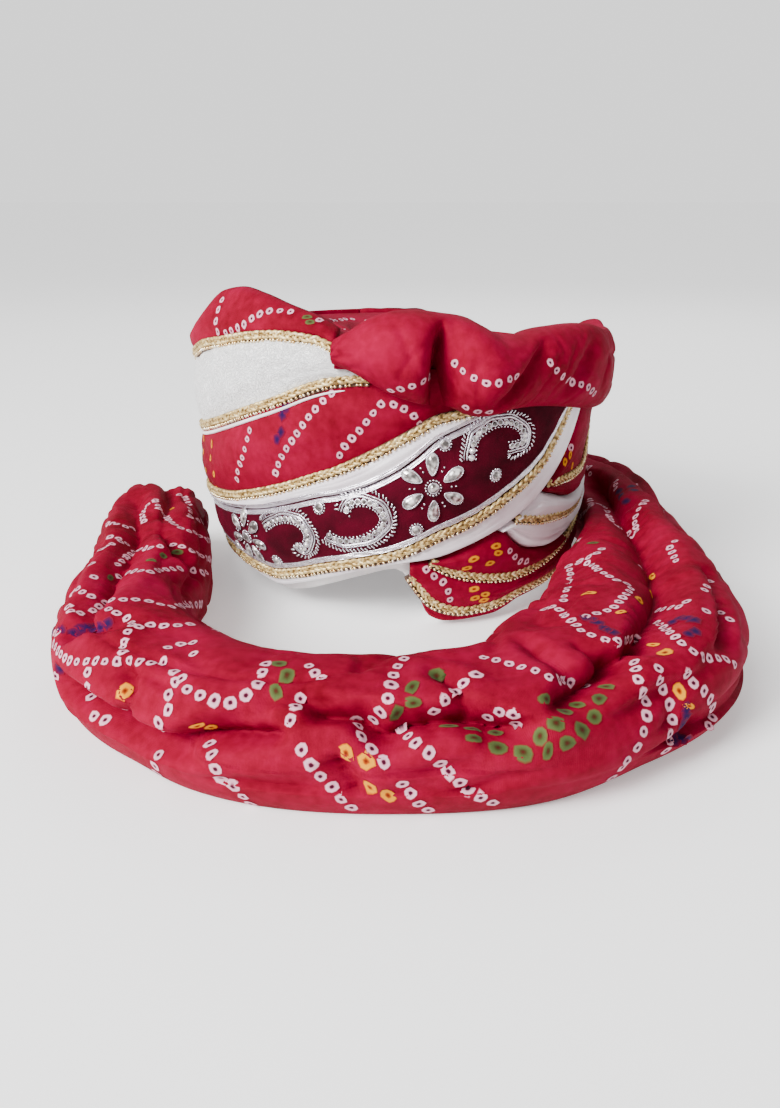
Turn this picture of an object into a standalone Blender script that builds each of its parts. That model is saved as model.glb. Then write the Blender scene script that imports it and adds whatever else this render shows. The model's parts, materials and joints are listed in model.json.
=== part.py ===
"""A tied wedding turban, ready to wear, standing on a floor with its long tail laid round it.

A wound wall of cloth leaves an oval head opening. Slanting wraps lie on that wall: a satin rim, a jewelled velvet
band, a patterned red wrap, a white brocade wrap and a crown wrap that rise from the left to the right across the
front, over a lappet of red and white wraps on the right. Gold trims cover the seams between them. A puffed crest
sits on the right front of the crown, and a gathered tail comes down the back and lies round the turban.

Metres, +Z up. The floor is z = 0, and the origin is the middle of the floor area that the whole turban covers.
Angles are in degrees round the turban: 0 is the front, at -Y, 90 is the right, at +X, and 180 is the back.
"""

import bisect
import math

import bpy
from mathutils import Vector

# Head opening and wound wall
HEAD_WIDTH = 0.160
HEAD_LENGTH = 0.190
WALL_THICKNESS = 0.035
WALL_FLARE = 0.003
WALL_TUCK = 0.018
WALL_HEIGHT = 0.150
WALL_TOP_DROP = 0.006
TUCK_HEIGHT = 0.40 * WALL_HEIGHT

# Wraps and trims laid on the wall
SEAT_GAP = 0.0003
EDGE_GAP = 0.0005
WRAP_EDGE = 0.0045
WRAP_BELLY = 0.0035
CROSSING_LIFT = 0.0025
TRIM_WIDTH = 0.0070
TRIM_PROUD = 0.0030

# Cloth over the crown
COVER_THICKNESS = 0.0030
COVER_RISE = 0.0060
COVER_PUFF = 0.0240
COVER_FOLD = 0.0040
CROWN_LEAN = 0.40

# Puffed crest on the right front of the crown
CREST_HEIGHT = 0.028
CREST_OVERHANG = 0.026
CREST_DEPTH = 0.042
CREST_PLEAT = 0.90

# Tail
TAIL_WIDTH = 0.066
TAIL_HEIGHT = 0.053
TAIL_REACH = 0.115
TAIL_GAP = 0.0012
ROOT_WIDTH = 0.050
ROOT_THICKNESS = 0.016
ROOT_SPREAD = 0.024
TAIL_SECTION_STEP = 0.028
TAIL_SIDES = 14

# Jewels on the velvet
PETAL_LENGTH = 0.0112
PETAL_WIDTH = 0.0070
STONE_DIAMETER = 0.0064
STONE_HEIGHT = 0.0024
FLOWER_RADIUS = 0.0125
SCROLL_WIDTH = 0.0044
SCROLL_HEIGHT = 0.0024
SCROLL_PITCH = 0.0050

# How far the turban's own middle lies from the middle of the floor area
TURBAN_X = 0.0040
TURBAN_Y = 0.0655

GRID_ANGLES = (
    list(range(-180, -20, 10))
    + [-20, -15, -10, -5, 0, 3, 6, 10, 15, 20, 25, 30, 35, 40, 45, 50, 55, 60, 66, 72, 78, 84, 90]
    + list(range(100, 190, 10))
)

# How much of the tuck under the wall's belly there is at each angle
TUCK_ROUND = ((-180, 0.50), (-120, 0.80), (-70, 1.00), (-35, 0.90), (0, 0.60), (40, 0.42), (120, 0.42), (180, 0.50))

# Where the wall stops above the floor, as a share of the wall height
WALL_FOOT = {
    -180: 0, -140: 0, -120: 0.010, -90: 0.055, -60: 0.095, -50: 0.085, -40: 0.070, -30: 0.100, -20: 0.150, -10: 0.200,
    0: 0.235, 3: 0.210, 6: 0.140, 10: 0.045, 15: 0.010, 20: 0, 26: 0, 36: 0.025, 50: 0.040, 70: 0.040, 90: 0.030,
    120: 0, 180: 0,
}

# Seams of the wraps that cross the front upwards to the right: heights as shares of the wall height
LEFT_COLUMNS = ("angle", "rim", "low_trim", "velvet_top", "red_trim", "white_trim", "crown_trim", "crown_top")
LEFT_SEAMS = (
    (-180, 0.010, 0.056, 0.262, 0.305, 0.570, 0.830, 1.000),
    (-150, 0.010, 0.056, 0.258, 0.300, 0.560, 0.820, 1.000),
    (-120, 0.030, 0.078, 0.276, 0.318, 0.570, 0.830, 1.005),
    (-90, 0.080, 0.126, 0.320, 0.364, 0.610, 0.890, 1.030),
    (-70, 0.112, 0.158, 0.350, 0.396, 0.660, 0.960, 1.135),
    (-60, 0.116, 0.162, 0.368, 0.415, 0.697, 1.002, 1.205),
    (-50, 0.106, 0.152, 0.392, 0.442, 0.744, 1.030, 1.220),
    (-40, 0.094, 0.150, 0.422, 0.482, 0.796, 1.058, 1.205),
    (-30, 0.132, 0.182, 0.466, 0.530, 0.850, 1.072, 1.175),
    (-20, 0.182, 0.230, 0.513, 0.586, 0.910, 1.064, 1.140),
    (-15, 0.206, 0.250, 0.530, 0.614, 0.930, 1.040, 1.108),
    (-10, 0.230, 0.269, 0.553, 0.648, 0.940, 1.010, 1.060),
    (0, 0.266, 0.308, 0.624, 0.724, 0.945, 1.000, 1.050),
    (5, 0.276, 0.338, 0.676, 0.764, 0.950, 1.000, 1.050),
    (10, 0.286, 0.374, 0.736, 0.804, 0.950, 1.000, 1.050),
    (20, 0.330, 0.430, 0.800, 0.832, 0.950, 1.000, 1.050),
    (30, 0.388, 0.504, 0.870, 0.900, 0.950, 1.000, 1.050),
    (40, 0.464, 0.596, 0.930, 0.950, 0.980, 1.000, 1.050),
    (45, 0.514, 0.680, 0.950, 0.970, 0.990, 1.000, 1.050),
    (50, 0.576, 0.775, 0.970, 0.985, 0.990, 1.000, 1.050),
    (55, 0.660, 0.880, 0.990, 1.000, 1.010, 1.030, 1.050),
    (60, 0.770, 0.980, 1.010, 1.020, 1.030, 1.040, 1.050),
    (66, 0.920, 1.060, 1.070, 1.080, 1.090, 1.100, 1.110),
)

# Seams of the wraps of the right lappet, which run under the others: heights as shares of the wall height
RIGHT_COLUMNS = ("angle", "hem", "hem_trim", "lappet_trim", "satin_low", "satin_trim", "satin_top", "top_trim")
RIGHT_SEAMS = (
    (3, 0.226, 0.240, 0.330, 0.340, 0.350, 0.360, 0.370),
    (6, 0.150, 0.175, 0.300, 0.340, 0.350, 0.360, 0.370),
    (10, 0.040, 0.106, 0.266, 0.340, 0.350, 0.360, 0.370),
    (15, 0.012, 0.070, 0.228, 0.345, 0.370, 0.400, 0.420),
    (20, 0.008, 0.056, 0.202, 0.360, 0.405, 0.430, 0.450),
    (30, 0.010, 0.062, 0.171, 0.362, 0.402, 0.450, 0.480),
    (35, 0.026, 0.080, 0.165, 0.305, 0.394, 0.475, 0.495),
    (40, 0.046, 0.092, 0.168, 0.262, 0.378, 0.487, 0.500),
    (50, 0.050, 0.096, 0.184, 0.234, 0.356, 0.448, 0.500),
    (60, 0.050, 0.096, 0.214, 0.244, 0.344, 0.404, 0.495),
    (66, 0.050, 0.096, 0.236, 0.262, 0.344, 0.398, 0.497),
    (72, 0.050, 0.096, 0.256, 0.282, 0.352, 0.402, 0.515),
    (78, 0.048, 0.094, 0.280, 0.306, 0.366, 0.425, 0.600),
    (84, 0.046, 0.092, 0.302, 0.328, 0.384, 0.470, 0.715),
    (90, 0.042, 0.088, 0.322, 0.348, 0.406, 0.525, 0.815),
    (100, 0.034, 0.080, 0.356, 0.382, 0.450, 0.610, 0.905),
    (120, 0.012, 0.058, 0.416, 0.442, 0.540, 0.730, 0.945),
    (150, 0.010, 0.056, 0.462, 0.488, 0.600, 0.800, 0.950),
    (180, 0.010, 0.056, 0.475, 0.501, 0.612, 0.815, 0.950),
)

# Crest: its top above the wall and how far it hangs out and lies in over the crown, as shares of its sizes. Its
# lobes part where "pleat" is high, and "foot" is its lower edge as a share of the wall height
CREST_COLUMNS = ("angle", "top", "overhang", "depth", "pleat", "foot")
CREST_LOBES = (
    (-14, 0.42, 0.26, 0.34, 0.00, 1.000),
    (-10, 0.62, 0.40, 0.55, 0.00, 0.978),
    (-5, 0.86, 0.66, 0.78, 0.00, 0.936),
    (0, 0.96, 0.86, 0.90, 0.00, 0.896),
    (4, 0.97, 0.92, 0.92, 0.08, 0.876),
    (8, 0.93, 0.86, 0.92, 0.36, 0.862),
    (10, 0.90, 0.74, 0.92, 0.80, 0.860),
    (11.5, 0.88, 0.66, 0.92, 1.00, 0.858),
    (13, 0.86, 0.80, 0.88, 0.75, 0.850),
    (16, 0.80, 1.00, 0.76, 0.20, 0.828),
    (19, 0.68, 1.08, 0.58, 0.00, 0.820),
    (23, 0.52, 1.02, 0.42, 0.00, 0.824),
    (28, 0.50, 0.84, 0.40, 0.15, 0.834),
    (33, 0.54, 0.66, 0.55, 0.25, 0.832),
    (40, 0.56, 0.58, 0.72, 0.10, 0.820),
    (48, 0.54, 0.56, 0.80, 0.00, 0.798),
    (56, 0.50, 0.54, 0.80, 0.00, 0.772),
    (64, 0.46, 0.40, 0.76, 0.00, 0.754),
    (72, 0.42, 0.34, 0.68, 0.00, 0.742),
    (80, 0.38, 0.28, 0.58, 0.00, 0.740),
    (88, 0.33, 0.26, 0.46, 0.00, 0.775),
    (95, 0.40, 0.26, 0.34, 0.00, 0.930),
)

# Tail: its route round the turban, from under its root at the back, past the right side and the front
TAIL_COLUMNS = ("angle", "reach", "width", "height")
TAIL_ROUTE = (
    (196, 0.02, 0.62, 0.52),
    (180, 0.03, 0.68, 0.62),
    (163, 0.07, 0.74, 0.78),
    (143, 0.07, 0.78, 0.90),
    (119, 0.03, 0.76, 0.98),
    (94, 0.005, 0.80, 1.04),
    (75, 0.005, 0.86, 1.06),
    (58, 0.03, 1.06, 1.06),
    (46, 0.08, 1.42, 1.06),
    (37, 0.20, 1.54, 1.06),
    (31, 0.34, 1.65, 1.06),
    (25, 0.48, 1.65, 1.06),
    (18, 0.64, 1.50, 1.04),
    (10, 0.89, 1.20, 1.02),
    (0, 1.00, 1.00, 1.00),
    (-9, 1.00, 1.00, 0.98),
    (-15, 0.95, 1.03, 0.98),
    (-20, 0.86, 1.06, 0.98),
    (-26, 0.75, 1.12, 1.00),
    (-32, 0.63, 1.06, 1.02),
    (-38, 0.46, 1.04, 1.02),
    (-49, 0.17, 1.04, 1.02),
    (-65, 0.005, 1.06, 1.00),
    (-85, 0.005, 0.98, 0.96),
    (-100, 0.02, 1.00, 0.92),
)

# Folds along the tail: from and to as shares of its length, the angle round its section where the fold starts
# and ends, with 0 at the outer side and 90 on top, its depth as a share of the half section, and its width
FOLD_COLUMNS = ("start", "stop", "from_side", "to_side", "depth", "spread")
TAIL_FOLDS = (
    (0.12, 0.42, 95, 70, 0.34, 26),
    (0.30, 0.52, 40, 100, 0.24, 22),
    (0.44, 0.66, 118, 78, 0.30, 22),
    (0.60, 0.86, 70, 34, 0.36, 24),
    (0.66, 0.80, 130, 105, 0.18, 20),
    (0.84, 1.02, 62, 84, 0.34, 24),
)

# Jewels on the velvet: the angle, and the height as a share of the velvet's own width there. A flower also has
# its number of petals, the direction of its first petal and its size
FLOWERS = {"front_flower": (8.9, 0.54, 6, 32, 1.0), "left_flower": (-46, 0.51, 7, -9, 0.92)}
ROUND_STONES = ((11.7, 0.93), (5.0, 0.17), (24.9, 0.31), (-19.6, 0.87), (-35.4, 0.15), (-55.0, 0.14))
SCROLLS = {
    "scroll_left": (
        (-38.0, 0.76), (-34.7, 0.84), (-30.6, 0.86), (-26.4, 0.80), (-23.6, 0.66), (-22.2, 0.50), (-22.6, 0.35),
        (-25.2, 0.25), (-27.6, 0.40),
    ),
    "scroll_middle": (
        (-17.8, 0.44), (-15.4, 0.33), (-12.8, 0.27), (-8.3, 0.24), (-4.1, 0.30), (-2.1, 0.40), (-2.1, 0.54),
        (-4.3, 0.73), (-8.1, 0.87), (-12.0, 0.89), (-13.2, 0.74),
    ),
    "scroll_right": (
        (17.3, 0.65), (17.8, 0.81), (18.8, 0.89), (21.4, 0.92), (24.7, 0.90), (28.2, 0.82), (31.3, 0.70),
        (33.4, 0.54), (33.0, 0.43), (30.4, 0.45), (27.7, 0.51),
    ),
}


def blend(a, b, t):
    return a + (b - a) * t


def smooth(t):
    t = min(1.0, max(0.0, t))
    return t * t * (3 - 2 * t)


def table_value(rows, column, key):
    """Linear reading of one column of a table whose first column rises."""
    keys = [row[0] for row in rows]
    i = min(max(bisect.bisect_right(keys, key) - 1, 0), len(rows) - 2)
    t = (key - keys[i]) / (keys[i + 1] - keys[i])
    return blend(rows[i][column], rows[i + 1][column], min(1.0, max(0.0, t)))


def wrapped(angle):
    """The same angle, from -180 up to but not including 180."""
    return (angle + 180.0) % 360.0 - 180.0


def grid_cell(angle):
    """The two grid angles on either side, and how far between them the angle lies."""
    angle = wrapped(angle)
    i = min(bisect.bisect_right(GRID_ANGLES, angle) - 1, len(GRID_ANGLES) - 2)
    first, second = GRID_ANGLES[i], GRID_ANGLES[i + 1]
    return first, second, (angle - first) / (second - first)


def on_grid(value_at, angle):
    """A value that is straight between grid angles, so that neighbouring pieces share their facets."""
    first, second, t = grid_cell(angle)
    return blend(value_at(first), value_at(second), t)


def wall_swell(angle, height):
    """How far the wall's outside lies beyond its thickness: tucked in below, flared above."""
    if height < TUCK_HEIGHT:
        return -WALL_TUCK * table_value(TUCK_ROUND, 1, angle) * (TUCK_HEIGHT - height) / TUCK_HEIGHT
    return WALL_FLARE * (height - TUCK_HEIGHT) / (WALL_HEIGHT - TUCK_HEIGHT)


def half_axes(angle, height, out):
    """Half width and half length of the wall's outside at this angle and height, moved out by a distance."""
    beyond = WALL_THICKNESS + wall_swell(angle, height) + out
    return HEAD_WIDTH / 2 + beyond, HEAD_LENGTH / 2 + beyond


def oval_point(angle, half_width, half_length, height):
    turn = math.radians(angle)
    x = TURBAN_X + half_width * math.sin(turn)
    y = TURBAN_Y - half_length * math.cos(turn)
    return Vector((x, y, height))


def wall_point(angle, height, out):
    """A point out from the wall's outer face, on the straight facet between two grid angles."""
    first, second, t = grid_cell(angle)
    ends = [oval_point(a, *half_axes(a, height, out), height) for a in (first, second)]
    return ends[0].lerp(ends[1], t)


def wall_foot(angle):
    rows = tuple((key, share) for key, share in sorted(WALL_FOOT.items()))
    return on_grid(lambda a: WALL_HEIGHT * table_value(rows, 1, a), angle)


def left_seam(name):
    column = LEFT_COLUMNS.index(name)
    return lambda angle: on_grid(lambda a: WALL_HEIGHT * table_value(LEFT_SEAMS, column, a), angle)


def right_seam(name):
    column = RIGHT_COLUMNS.index(name)
    return lambda angle: on_grid(lambda a: WALL_HEIGHT * table_value(RIGHT_SEAMS, column, a), angle)


def below_crossing(seam):
    """The lappet's seams, cut off under the rim of the wraps that cross over it."""
    rim = left_seam("rim")
    last = LEFT_SEAMS[-1][0]

    def height_at(angle):
        over = rim(min(angle, last)) + max(0.0, angle - last) * WALL_HEIGHT
        return min(seam(angle), over - EDGE_GAP * 2)

    return lambda angle: on_grid(height_at, angle)


def material(name, color, roughness, metallic=0.0):
    made = bpy.data.materials.new(name)
    made.use_nodes = True
    shader = made.node_tree.nodes["Principled BSDF"]
    shader.inputs["Base Color"].default_value = (*color, 1.0)
    shader.inputs["Roughness"].default_value = roughness
    shader.inputs["Metallic"].default_value = metallic
    made.diffuse_color = (*color, 1.0)
    return made


RED = material("red_tie_dyed_cloth", (0.62, 0.02, 0.07), 0.75)
WHITE_SATIN = material("white_satin", (0.86, 0.80, 0.82), 0.45)
BROCADE = material("white_brocade", (0.90, 0.90, 0.88), 0.60)
VELVET = material("maroon_velvet", (0.22, 0.01, 0.03), 0.90)
GOLD = material("gold_braid", (0.78, 0.62, 0.32), 0.40, 0.8)
SILVER = material("silver_wire", (0.80, 0.78, 0.80), 0.30, 0.9)
CRYSTAL = material("clear_stone", (0.72, 0.72, 0.74), 0.10)
BASE = material("white_cotton_base", (0.84, 0.80, 0.80), 0.85)


def add_object(name, points, faces, finish, shaded_angle=40.0):
    mesh = bpy.data.meshes.new(name)
    mesh.from_pydata([tuple(p) for p in points], [], faces)
    mesh.validate()
    mesh.shade_smooth()
    mesh.set_sharp_from_angle(angle=math.radians(shaded_angle))
    mesh.materials.append(finish)
    made = bpy.data.objects.new(name, mesh)
    bpy.context.scene.collection.objects.link(made)
    return made


def loft(name, sections, finish, closed=False):
    """A solid through rings of as many points each, capped at both ends or closed on itself.

    Each ring runs clockwise as seen from the end towards the start."""
    count = len(sections[0])
    points = [point for section in sections for point in section]
    rings = len(sections)
    faces = []
    for ring in range(rings if closed else rings - 1):
        here, there = ring * count, (ring + 1) % rings * count
        for i in range(count):
            j = (i + 1) % count
            faces.append((here + i, here + j, there + j, there + i))
    if not closed:
        faces.append(tuple(reversed(range(count))))
        faces.append(tuple(range((rings - 1) * count, rings * count)))
    return add_object(name, points, faces, finish)


def bend_angles(edge, angles):
    """Where an edge crosses one of the wall's bends, so that the wrap can bend with the wall there."""
    found = []
    for first, second in zip(angles, angles[1:]):
        for bend in (TUCK_HEIGHT, WALL_HEIGHT):
            before, after = edge(first) - bend, edge(second) - bend
            if before * after < 0:
                found.append(blend(first, second, before / (before - after)))
    return found


def strip_angles(low, high, first, last, least):
    """Angles for a wrap's sections: its ends, and between them the grid angles and those where it bends."""
    step = 0.25
    fine = [first + step * i for i in range(int((last - first) / step) + 1)]
    tall = [a for a in fine if high(a) - low(a) >= least]
    start, stop = tall[0], tall[-1]
    grid = [start] + [a for a in GRID_ANGLES if start < a < stop] + [stop]
    angles = [start]
    for angle in sorted(grid + bend_angles(low, grid) + bend_angles(high, grid)):
        if angle - angles[-1] > 0.02:
            angles.append(angle)
    return angles


def lean(height):
    """How far cloth that rises past the top of the wall leans in over the crown."""
    return -CROWN_LEAN * max(0.0, height - WALL_HEIGHT)


def back_face(angle, bottom, top):
    """The side on the wall: its ends, and the wall's bend between them if it crosses one."""
    middle = blend(bottom, top, 0.5)
    for bend in (TUCK_HEIGHT, WALL_HEIGHT):
        if bottom - 0.0001 < bend < top + 0.0001:
            middle = min(max(bend, bottom + 0.0002), top - 0.0002)
    return [wall_point(angle, height, SEAT_GAP + lean(height)) for height in (bottom, middle, top)]


def wrap_section(angle, bottom, top, edge, belly, shares):
    """Inner face on the wall, outer face rounded like a fold of cloth."""
    ring = back_face(angle, bottom, top)
    for share in shares:
        height = blend(top, bottom, share)
        ring.append(wall_point(angle, height, edge + belly * (1 - (2 * share - 1) ** 2) + lean(height)))
    return ring


OUTER_SHARES = (0.0, 0.3, 0.7, 1.0)


def crossing_lift(angle):
    """How much farther out the wraps lie where they cross over the lappet."""
    return CROSSING_LIFT * smooth((angle + 25.0) / 35.0)


def wrap(name, low, high, finish, first, last, lifted=False, least=0.0016, belly=WRAP_BELLY):
    """One visible wrap of cloth between two seams."""
    angles = strip_angles(low, high, first, last, least)
    sections = []
    for angle in angles:
        lift = crossing_lift(angle) if lifted else 0.0
        sections.append(wrap_section(angle, low(angle), high(angle), WRAP_EDGE + lift, belly, OUTER_SHARES))
    loft(name, sections, finish)
    return angles, [section[:-len(OUTER_SHARES) - 1:-1] for section in sections]


def slope_factor(seam, angle):
    """How much taller than wide a trim stands where its seam is steep."""
    reach = 4.0
    rise = seam(angle + reach) - seam(angle - reach)
    run = (wall_point(angle + reach, 0, 0) - wall_point(angle - reach, 0, 0)).length
    return min(2.2, math.hypot(run, rise) / run)


def trim_edges(seam, cut=None):
    """Lower and upper edge of the trim that covers a seam, straight between grid angles."""

    def half(angle):
        return on_grid(lambda a: TRIM_WIDTH / 2 * slope_factor(seam, a), angle)

    def low(angle):
        return seam(angle) - half(angle)

    def high(angle):
        return seam(angle) + half(angle)

    if cut:
        return below_crossing(low), below_crossing(high)
    return low, high


def raised(edge, amount):
    return lambda angle: edge(angle) + amount


def trim(name, edges, first, last, lifted=False, least=0.0030):
    """A gold braid on a seam, proud of the wraps on both sides."""
    low, high = edges
    angles = strip_angles(low, high, first, last, least)
    sections = []
    for angle in angles:
        out = WRAP_EDGE + TRIM_PROUD + (crossing_lift(angle) if lifted else 0.0)
        bottom, top = low(angle), high(angle)
        outer = (blend(top, bottom, 0.2), blend(top, bottom, 0.8))
        sections.append(back_face(angle, bottom, top)
                        + [wall_point(angle, height, out + lean(height)) for height in outer])
    return loft(name, sections, GOLD)


def make_wall():
    """The wound wall: an oval ring, open at the bottom and top, whose foot lifts at the front."""
    sections = []
    for angle in GRID_ANGLES[:-1]:
        foot, top = wall_foot(angle), WALL_HEIGHT - WALL_TOP_DROP
        inner = (HEAD_WIDTH / 2, HEAD_LENGTH / 2)
        sections.append([
            oval_point(angle, *inner, foot),
            oval_point(angle, *inner, top),
            wall_point(angle, top, 0),
            wall_point(angle, TUCK_HEIGHT, -SEAT_GAP),
            wall_point(angle, foot, -SEAT_GAP * 3),
        ])
    loft("wound_wall", sections, BASE, closed=True)


BACK_EDGE = 180.0 - math.degrees(ROOT_WIDTH / 2 / (HEAD_WIDTH / 2 + WALL_THICKNESS))


def make_left_wraps():
    """The wraps that cross the front, from the satin rim up to the crown wrap, with their trims."""
    start, under_crest = -BACK_EDGE, LEFT_SEAMS[-1][0]
    rim, velvet_top = left_seam("rim"), left_seam("velvet_top")
    top_limit = WALL_HEIGHT - EDGE_GAP

    def capped(edge):
        return lambda angle: min(edge(angle), top_limit) if angle > -8 else edge(angle)

    low_trim = [capped(edge) for edge in trim_edges(left_seam("low_trim"))]
    red_trim = [capped(edge) for edge in trim_edges(left_seam("red_trim"))]
    white_trim = trim_edges(left_seam("white_trim"))
    crown_trim = trim_edges(left_seam("crown_trim"))
    wrap("satin_rim", rim, raised(low_trim[0], -EDGE_GAP), WHITE_SATIN, start, under_crest, lifted=True, belly=0.001)
    trim("low_trim", low_trim, start, 62, lifted=True)
    velvet_low, velvet_high = raised(low_trim[1], EDGE_GAP), capped(raised(velvet_top, -EDGE_GAP))
    velvet = wrap("velvet_band", velvet_low, velvet_high, VELVET, start, 60, lifted=True)
    wrap("satin_fold", velvet_top, raised(red_trim[0], -EDGE_GAP), WHITE_SATIN, start, 34, lifted=True, belly=0.002)
    trim("red_trim", red_trim, start, 26, lifted=True)
    wrap("red_wrap", raised(red_trim[1], EDGE_GAP), capped(raised(white_trim[0], -EDGE_GAP)), RED, start, 26)
    trim("white_trim", white_trim, start, -6)
    wrap("brocade_wrap", raised(white_trim[1], EDGE_GAP), raised(crown_trim[0], -EDGE_GAP), BROCADE, start, -8)
    trim("crown_trim", crown_trim, start, -14.5)
    wrap("crown_wrap", raised(crown_trim[1], EDGE_GAP), left_seam("crown_top"), RED, start, -14.5)
    return velvet


def make_right_wraps():
    """The lappet on the right: red and satin wraps that run under the crossing and on round the back."""
    stop = BACK_EDGE
    hem_trim = trim_edges(right_seam("hem_trim"), cut=True)
    lappet_trim = trim_edges(right_seam("lappet_trim"), cut=True)
    satin_trim = trim_edges(right_seam("satin_trim"), cut=True)
    top_trim = trim_edges(right_seam("top_trim"), cut=True)
    satin_low = below_crossing(right_seam("satin_low"))
    satin_top = below_crossing(right_seam("satin_top"))
    crossing = below_crossing(lambda angle: WALL_HEIGHT - EDGE_GAP)

    def satin_foot(angle):
        return on_grid(lambda a: max(satin_low(a), lappet_trim[1](a) + EDGE_GAP), angle)

    wrap("hem_wrap", right_seam("hem"), raised(hem_trim[0], -EDGE_GAP), RED, 4, 150, belly=0.0)
    wrap("lappet_wrap", raised(hem_trim[1], EDGE_GAP), raised(lappet_trim[0], -EDGE_GAP), RED, 4, stop)
    trim("hem_trim", hem_trim, 4, stop)
    trim("lappet_trim", lappet_trim, 5, stop)
    wrap("spotted_wrap", raised(lappet_trim[1], EDGE_GAP), raised(satin_foot, -EDGE_GAP), RED, 6, 60)
    wrap("satin_under", satin_foot, raised(satin_trim[0], -EDGE_GAP), WHITE_SATIN, 20, stop)
    trim("satin_trim", satin_trim, 22, stop)
    wrap("satin_over", raised(satin_trim[1], EDGE_GAP), raised(satin_top, -EDGE_GAP), WHITE_SATIN, 24, stop)
    wrap("tucked_wrap", satin_top, raised(top_trim[0], -EDGE_GAP), RED, 30, stop)
    trim("top_trim", top_trim, 34, stop)
    wrap("upper_wrap", raised(top_trim[1], EDGE_GAP), crossing, RED, 40, stop)


COVER_PUFF_ROUND = ((-180, 0.0), (-150, 0.12), (-120, 0.34), (-90, 0.62), (-60, 0.94), (-45, 1.0), (-32, 0.74),
                    (-22, 0.26), (-15, 0.0), (180, 0.0))
COVER_PUFF_IN = ((0.0, 0.0), (0.22, 0.22), (0.44, 0.58), (0.66, 0.92), (0.86, 0.80), (0.99, 0.0))


def cover_height(angle, share):
    """Top of the cloth over the crown: domed, puffed up behind the crown wrap, with soft radial folds."""
    dome = COVER_RISE * (1 - share ** 2)
    puff = COVER_PUFF * table_value(COVER_PUFF_ROUND, 1, angle) * table_value(COVER_PUFF_IN, 1, share)
    fold = COVER_FOLD * share * (0.99 - share) * math.cos(math.radians(angle * 6 + 40))
    return WALL_HEIGHT - WALL_TOP_DROP + SEAT_GAP + COVER_THICKNESS + dome + puff + fold


def make_crown_cover():
    """A wall of cloth over the top of the hollow, resting on the wound wall."""
    shares = (0.99, 0.84, 0.62, 0.32)
    angles = GRID_ANGLES[:-1]
    top_axes = half_axes(0, WALL_HEIGHT, 0.0)
    points, faces = [], []
    for lowered in (0.0, COVER_THICKNESS):
        for share in shares:
            for angle in angles:
                height = cover_height(angle, share) - lowered
                points.append(oval_point(angle, top_axes[0] * share, top_axes[1] * share, height))
        points.append(Vector((TURBAN_X, TURBAN_Y, cover_height(0, 0) - lowered)))
    count, rings = len(angles), len(shares)
    side = rings * count + 1
    for i in range(count):
        j = (i + 1) % count
        for ring in range(rings - 1):
            a, b = ring * count, (ring + 1) * count
            for first, second, third in ((a + i, a + j, b + j), (a + i, b + j, b + i)):
                faces += [(first, second, third), (side + third, side + second, side + first)]
        last = (rings - 1) * count
        faces.append((last + i, last + j, rings * count))
        faces.append((side + last + j, side + last + i, side + rings * count))
        faces.append((j, i, side + i, side + j))
    add_object("crown_cover", points, faces, RED)


CREST_FRONT_TURNS = (-64, -40, -16, 8, 32, 56, 80)
CREST_BACK_TURNS = (104, 128, 152)


def crest_row(angle):
    return [table_value(CREST_LOBES, column, angle) for column in range(1, len(CREST_COLUMNS))]


def crest_section(angle):
    """Round in front, where it hangs over the wraps, and flatter behind, where it lies over the crown."""
    inner = WRAP_EDGE + WRAP_BELLY + CROSSING_LIFT + SEAT_GAP * 2
    seat = WALL_HEIGHT + COVER_RISE * 0.6
    top, overhang, depth, pleat, foot = crest_row(angle)
    low, high = foot * WALL_HEIGHT, WALL_HEIGHT + CREST_HEIGHT * top
    middle = blend(low, high, 0.5)
    ring = []
    for turn in CREST_FRONT_TURNS:
        c, s = math.cos(math.radians(turn)), math.sin(math.radians(turn))
        drawn = 1 - CREST_PLEAT * pleat * (0.5 - 0.5 * s)
        ring.append(wall_point(angle, middle + (high - middle) * s, inner + CREST_OVERHANG * overhang * drawn * c))
    for turn in CREST_BACK_TURNS:
        c, s = math.cos(math.radians(turn)), math.sin(math.radians(turn))
        ring.append(wall_point(angle, blend(seat, high, s), inner + CREST_DEPTH * depth * c))
    ring.append(wall_point(angle, seat + SEAT_GAP * 2, inner - CREST_DEPTH * depth))
    ring.append(wall_point(angle, seat, inner))
    ring.append(wall_point(angle, low + SEAT_GAP, inner))
    return ring[::-1]


def make_crest():
    """The puffed crest: a roll of cloth that sits over the rim of the crown, pleated into lobes."""
    angles = []
    for row, after in zip(CREST_LOBES, CREST_LOBES[1:]):
        angles += [row[0], (row[0] + after[0]) / 2] if after[0] - row[0] > 2 else [row[0]]
    loft("crest", [crest_section(angle) for angle in angles + [CREST_LOBES[-1][0]]], RED)


def spline(rows, column, t):
    """Catmull-Rom reading of a column at a row number with a fraction."""
    i = min(int(t), len(rows) - 2)
    f = t - i
    p0, p1, p2, p3 = (rows[min(max(k, 0), len(rows) - 1)][column] for k in (i - 1, i, i + 1, i + 2))
    return 0.5 * (2 * p1 + (p2 - p0) * f + (2 * p0 - 5 * p1 + 4 * p2 - p3) * f * f
                  + (3 * p1 - p0 - 3 * p2 + p3) * f ** 3)


def tail_state(t):
    """Middle of the tail on the floor, its width and its height, at a row number with a fraction."""
    angle, reach, width, height = (spline(TAIL_ROUTE, c, t) for c in range(4))
    width, height = width * TAIL_WIDTH, height * TAIL_HEIGHT
    half_width, half_length = half_axes(0, TUCK_HEIGHT, WRAP_EDGE + WRAP_BELLY)
    turn = math.radians(angle)
    direction = Vector((math.sin(turn), -math.cos(turn), 0))
    edge = 1 / math.hypot(direction.x / half_width, direction.y / half_length)
    middle = Vector((TURBAN_X, TURBAN_Y, 0)) + direction * (edge + TAIL_GAP + width / 2 + reach * TAIL_REACH)
    return middle, width, height


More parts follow.
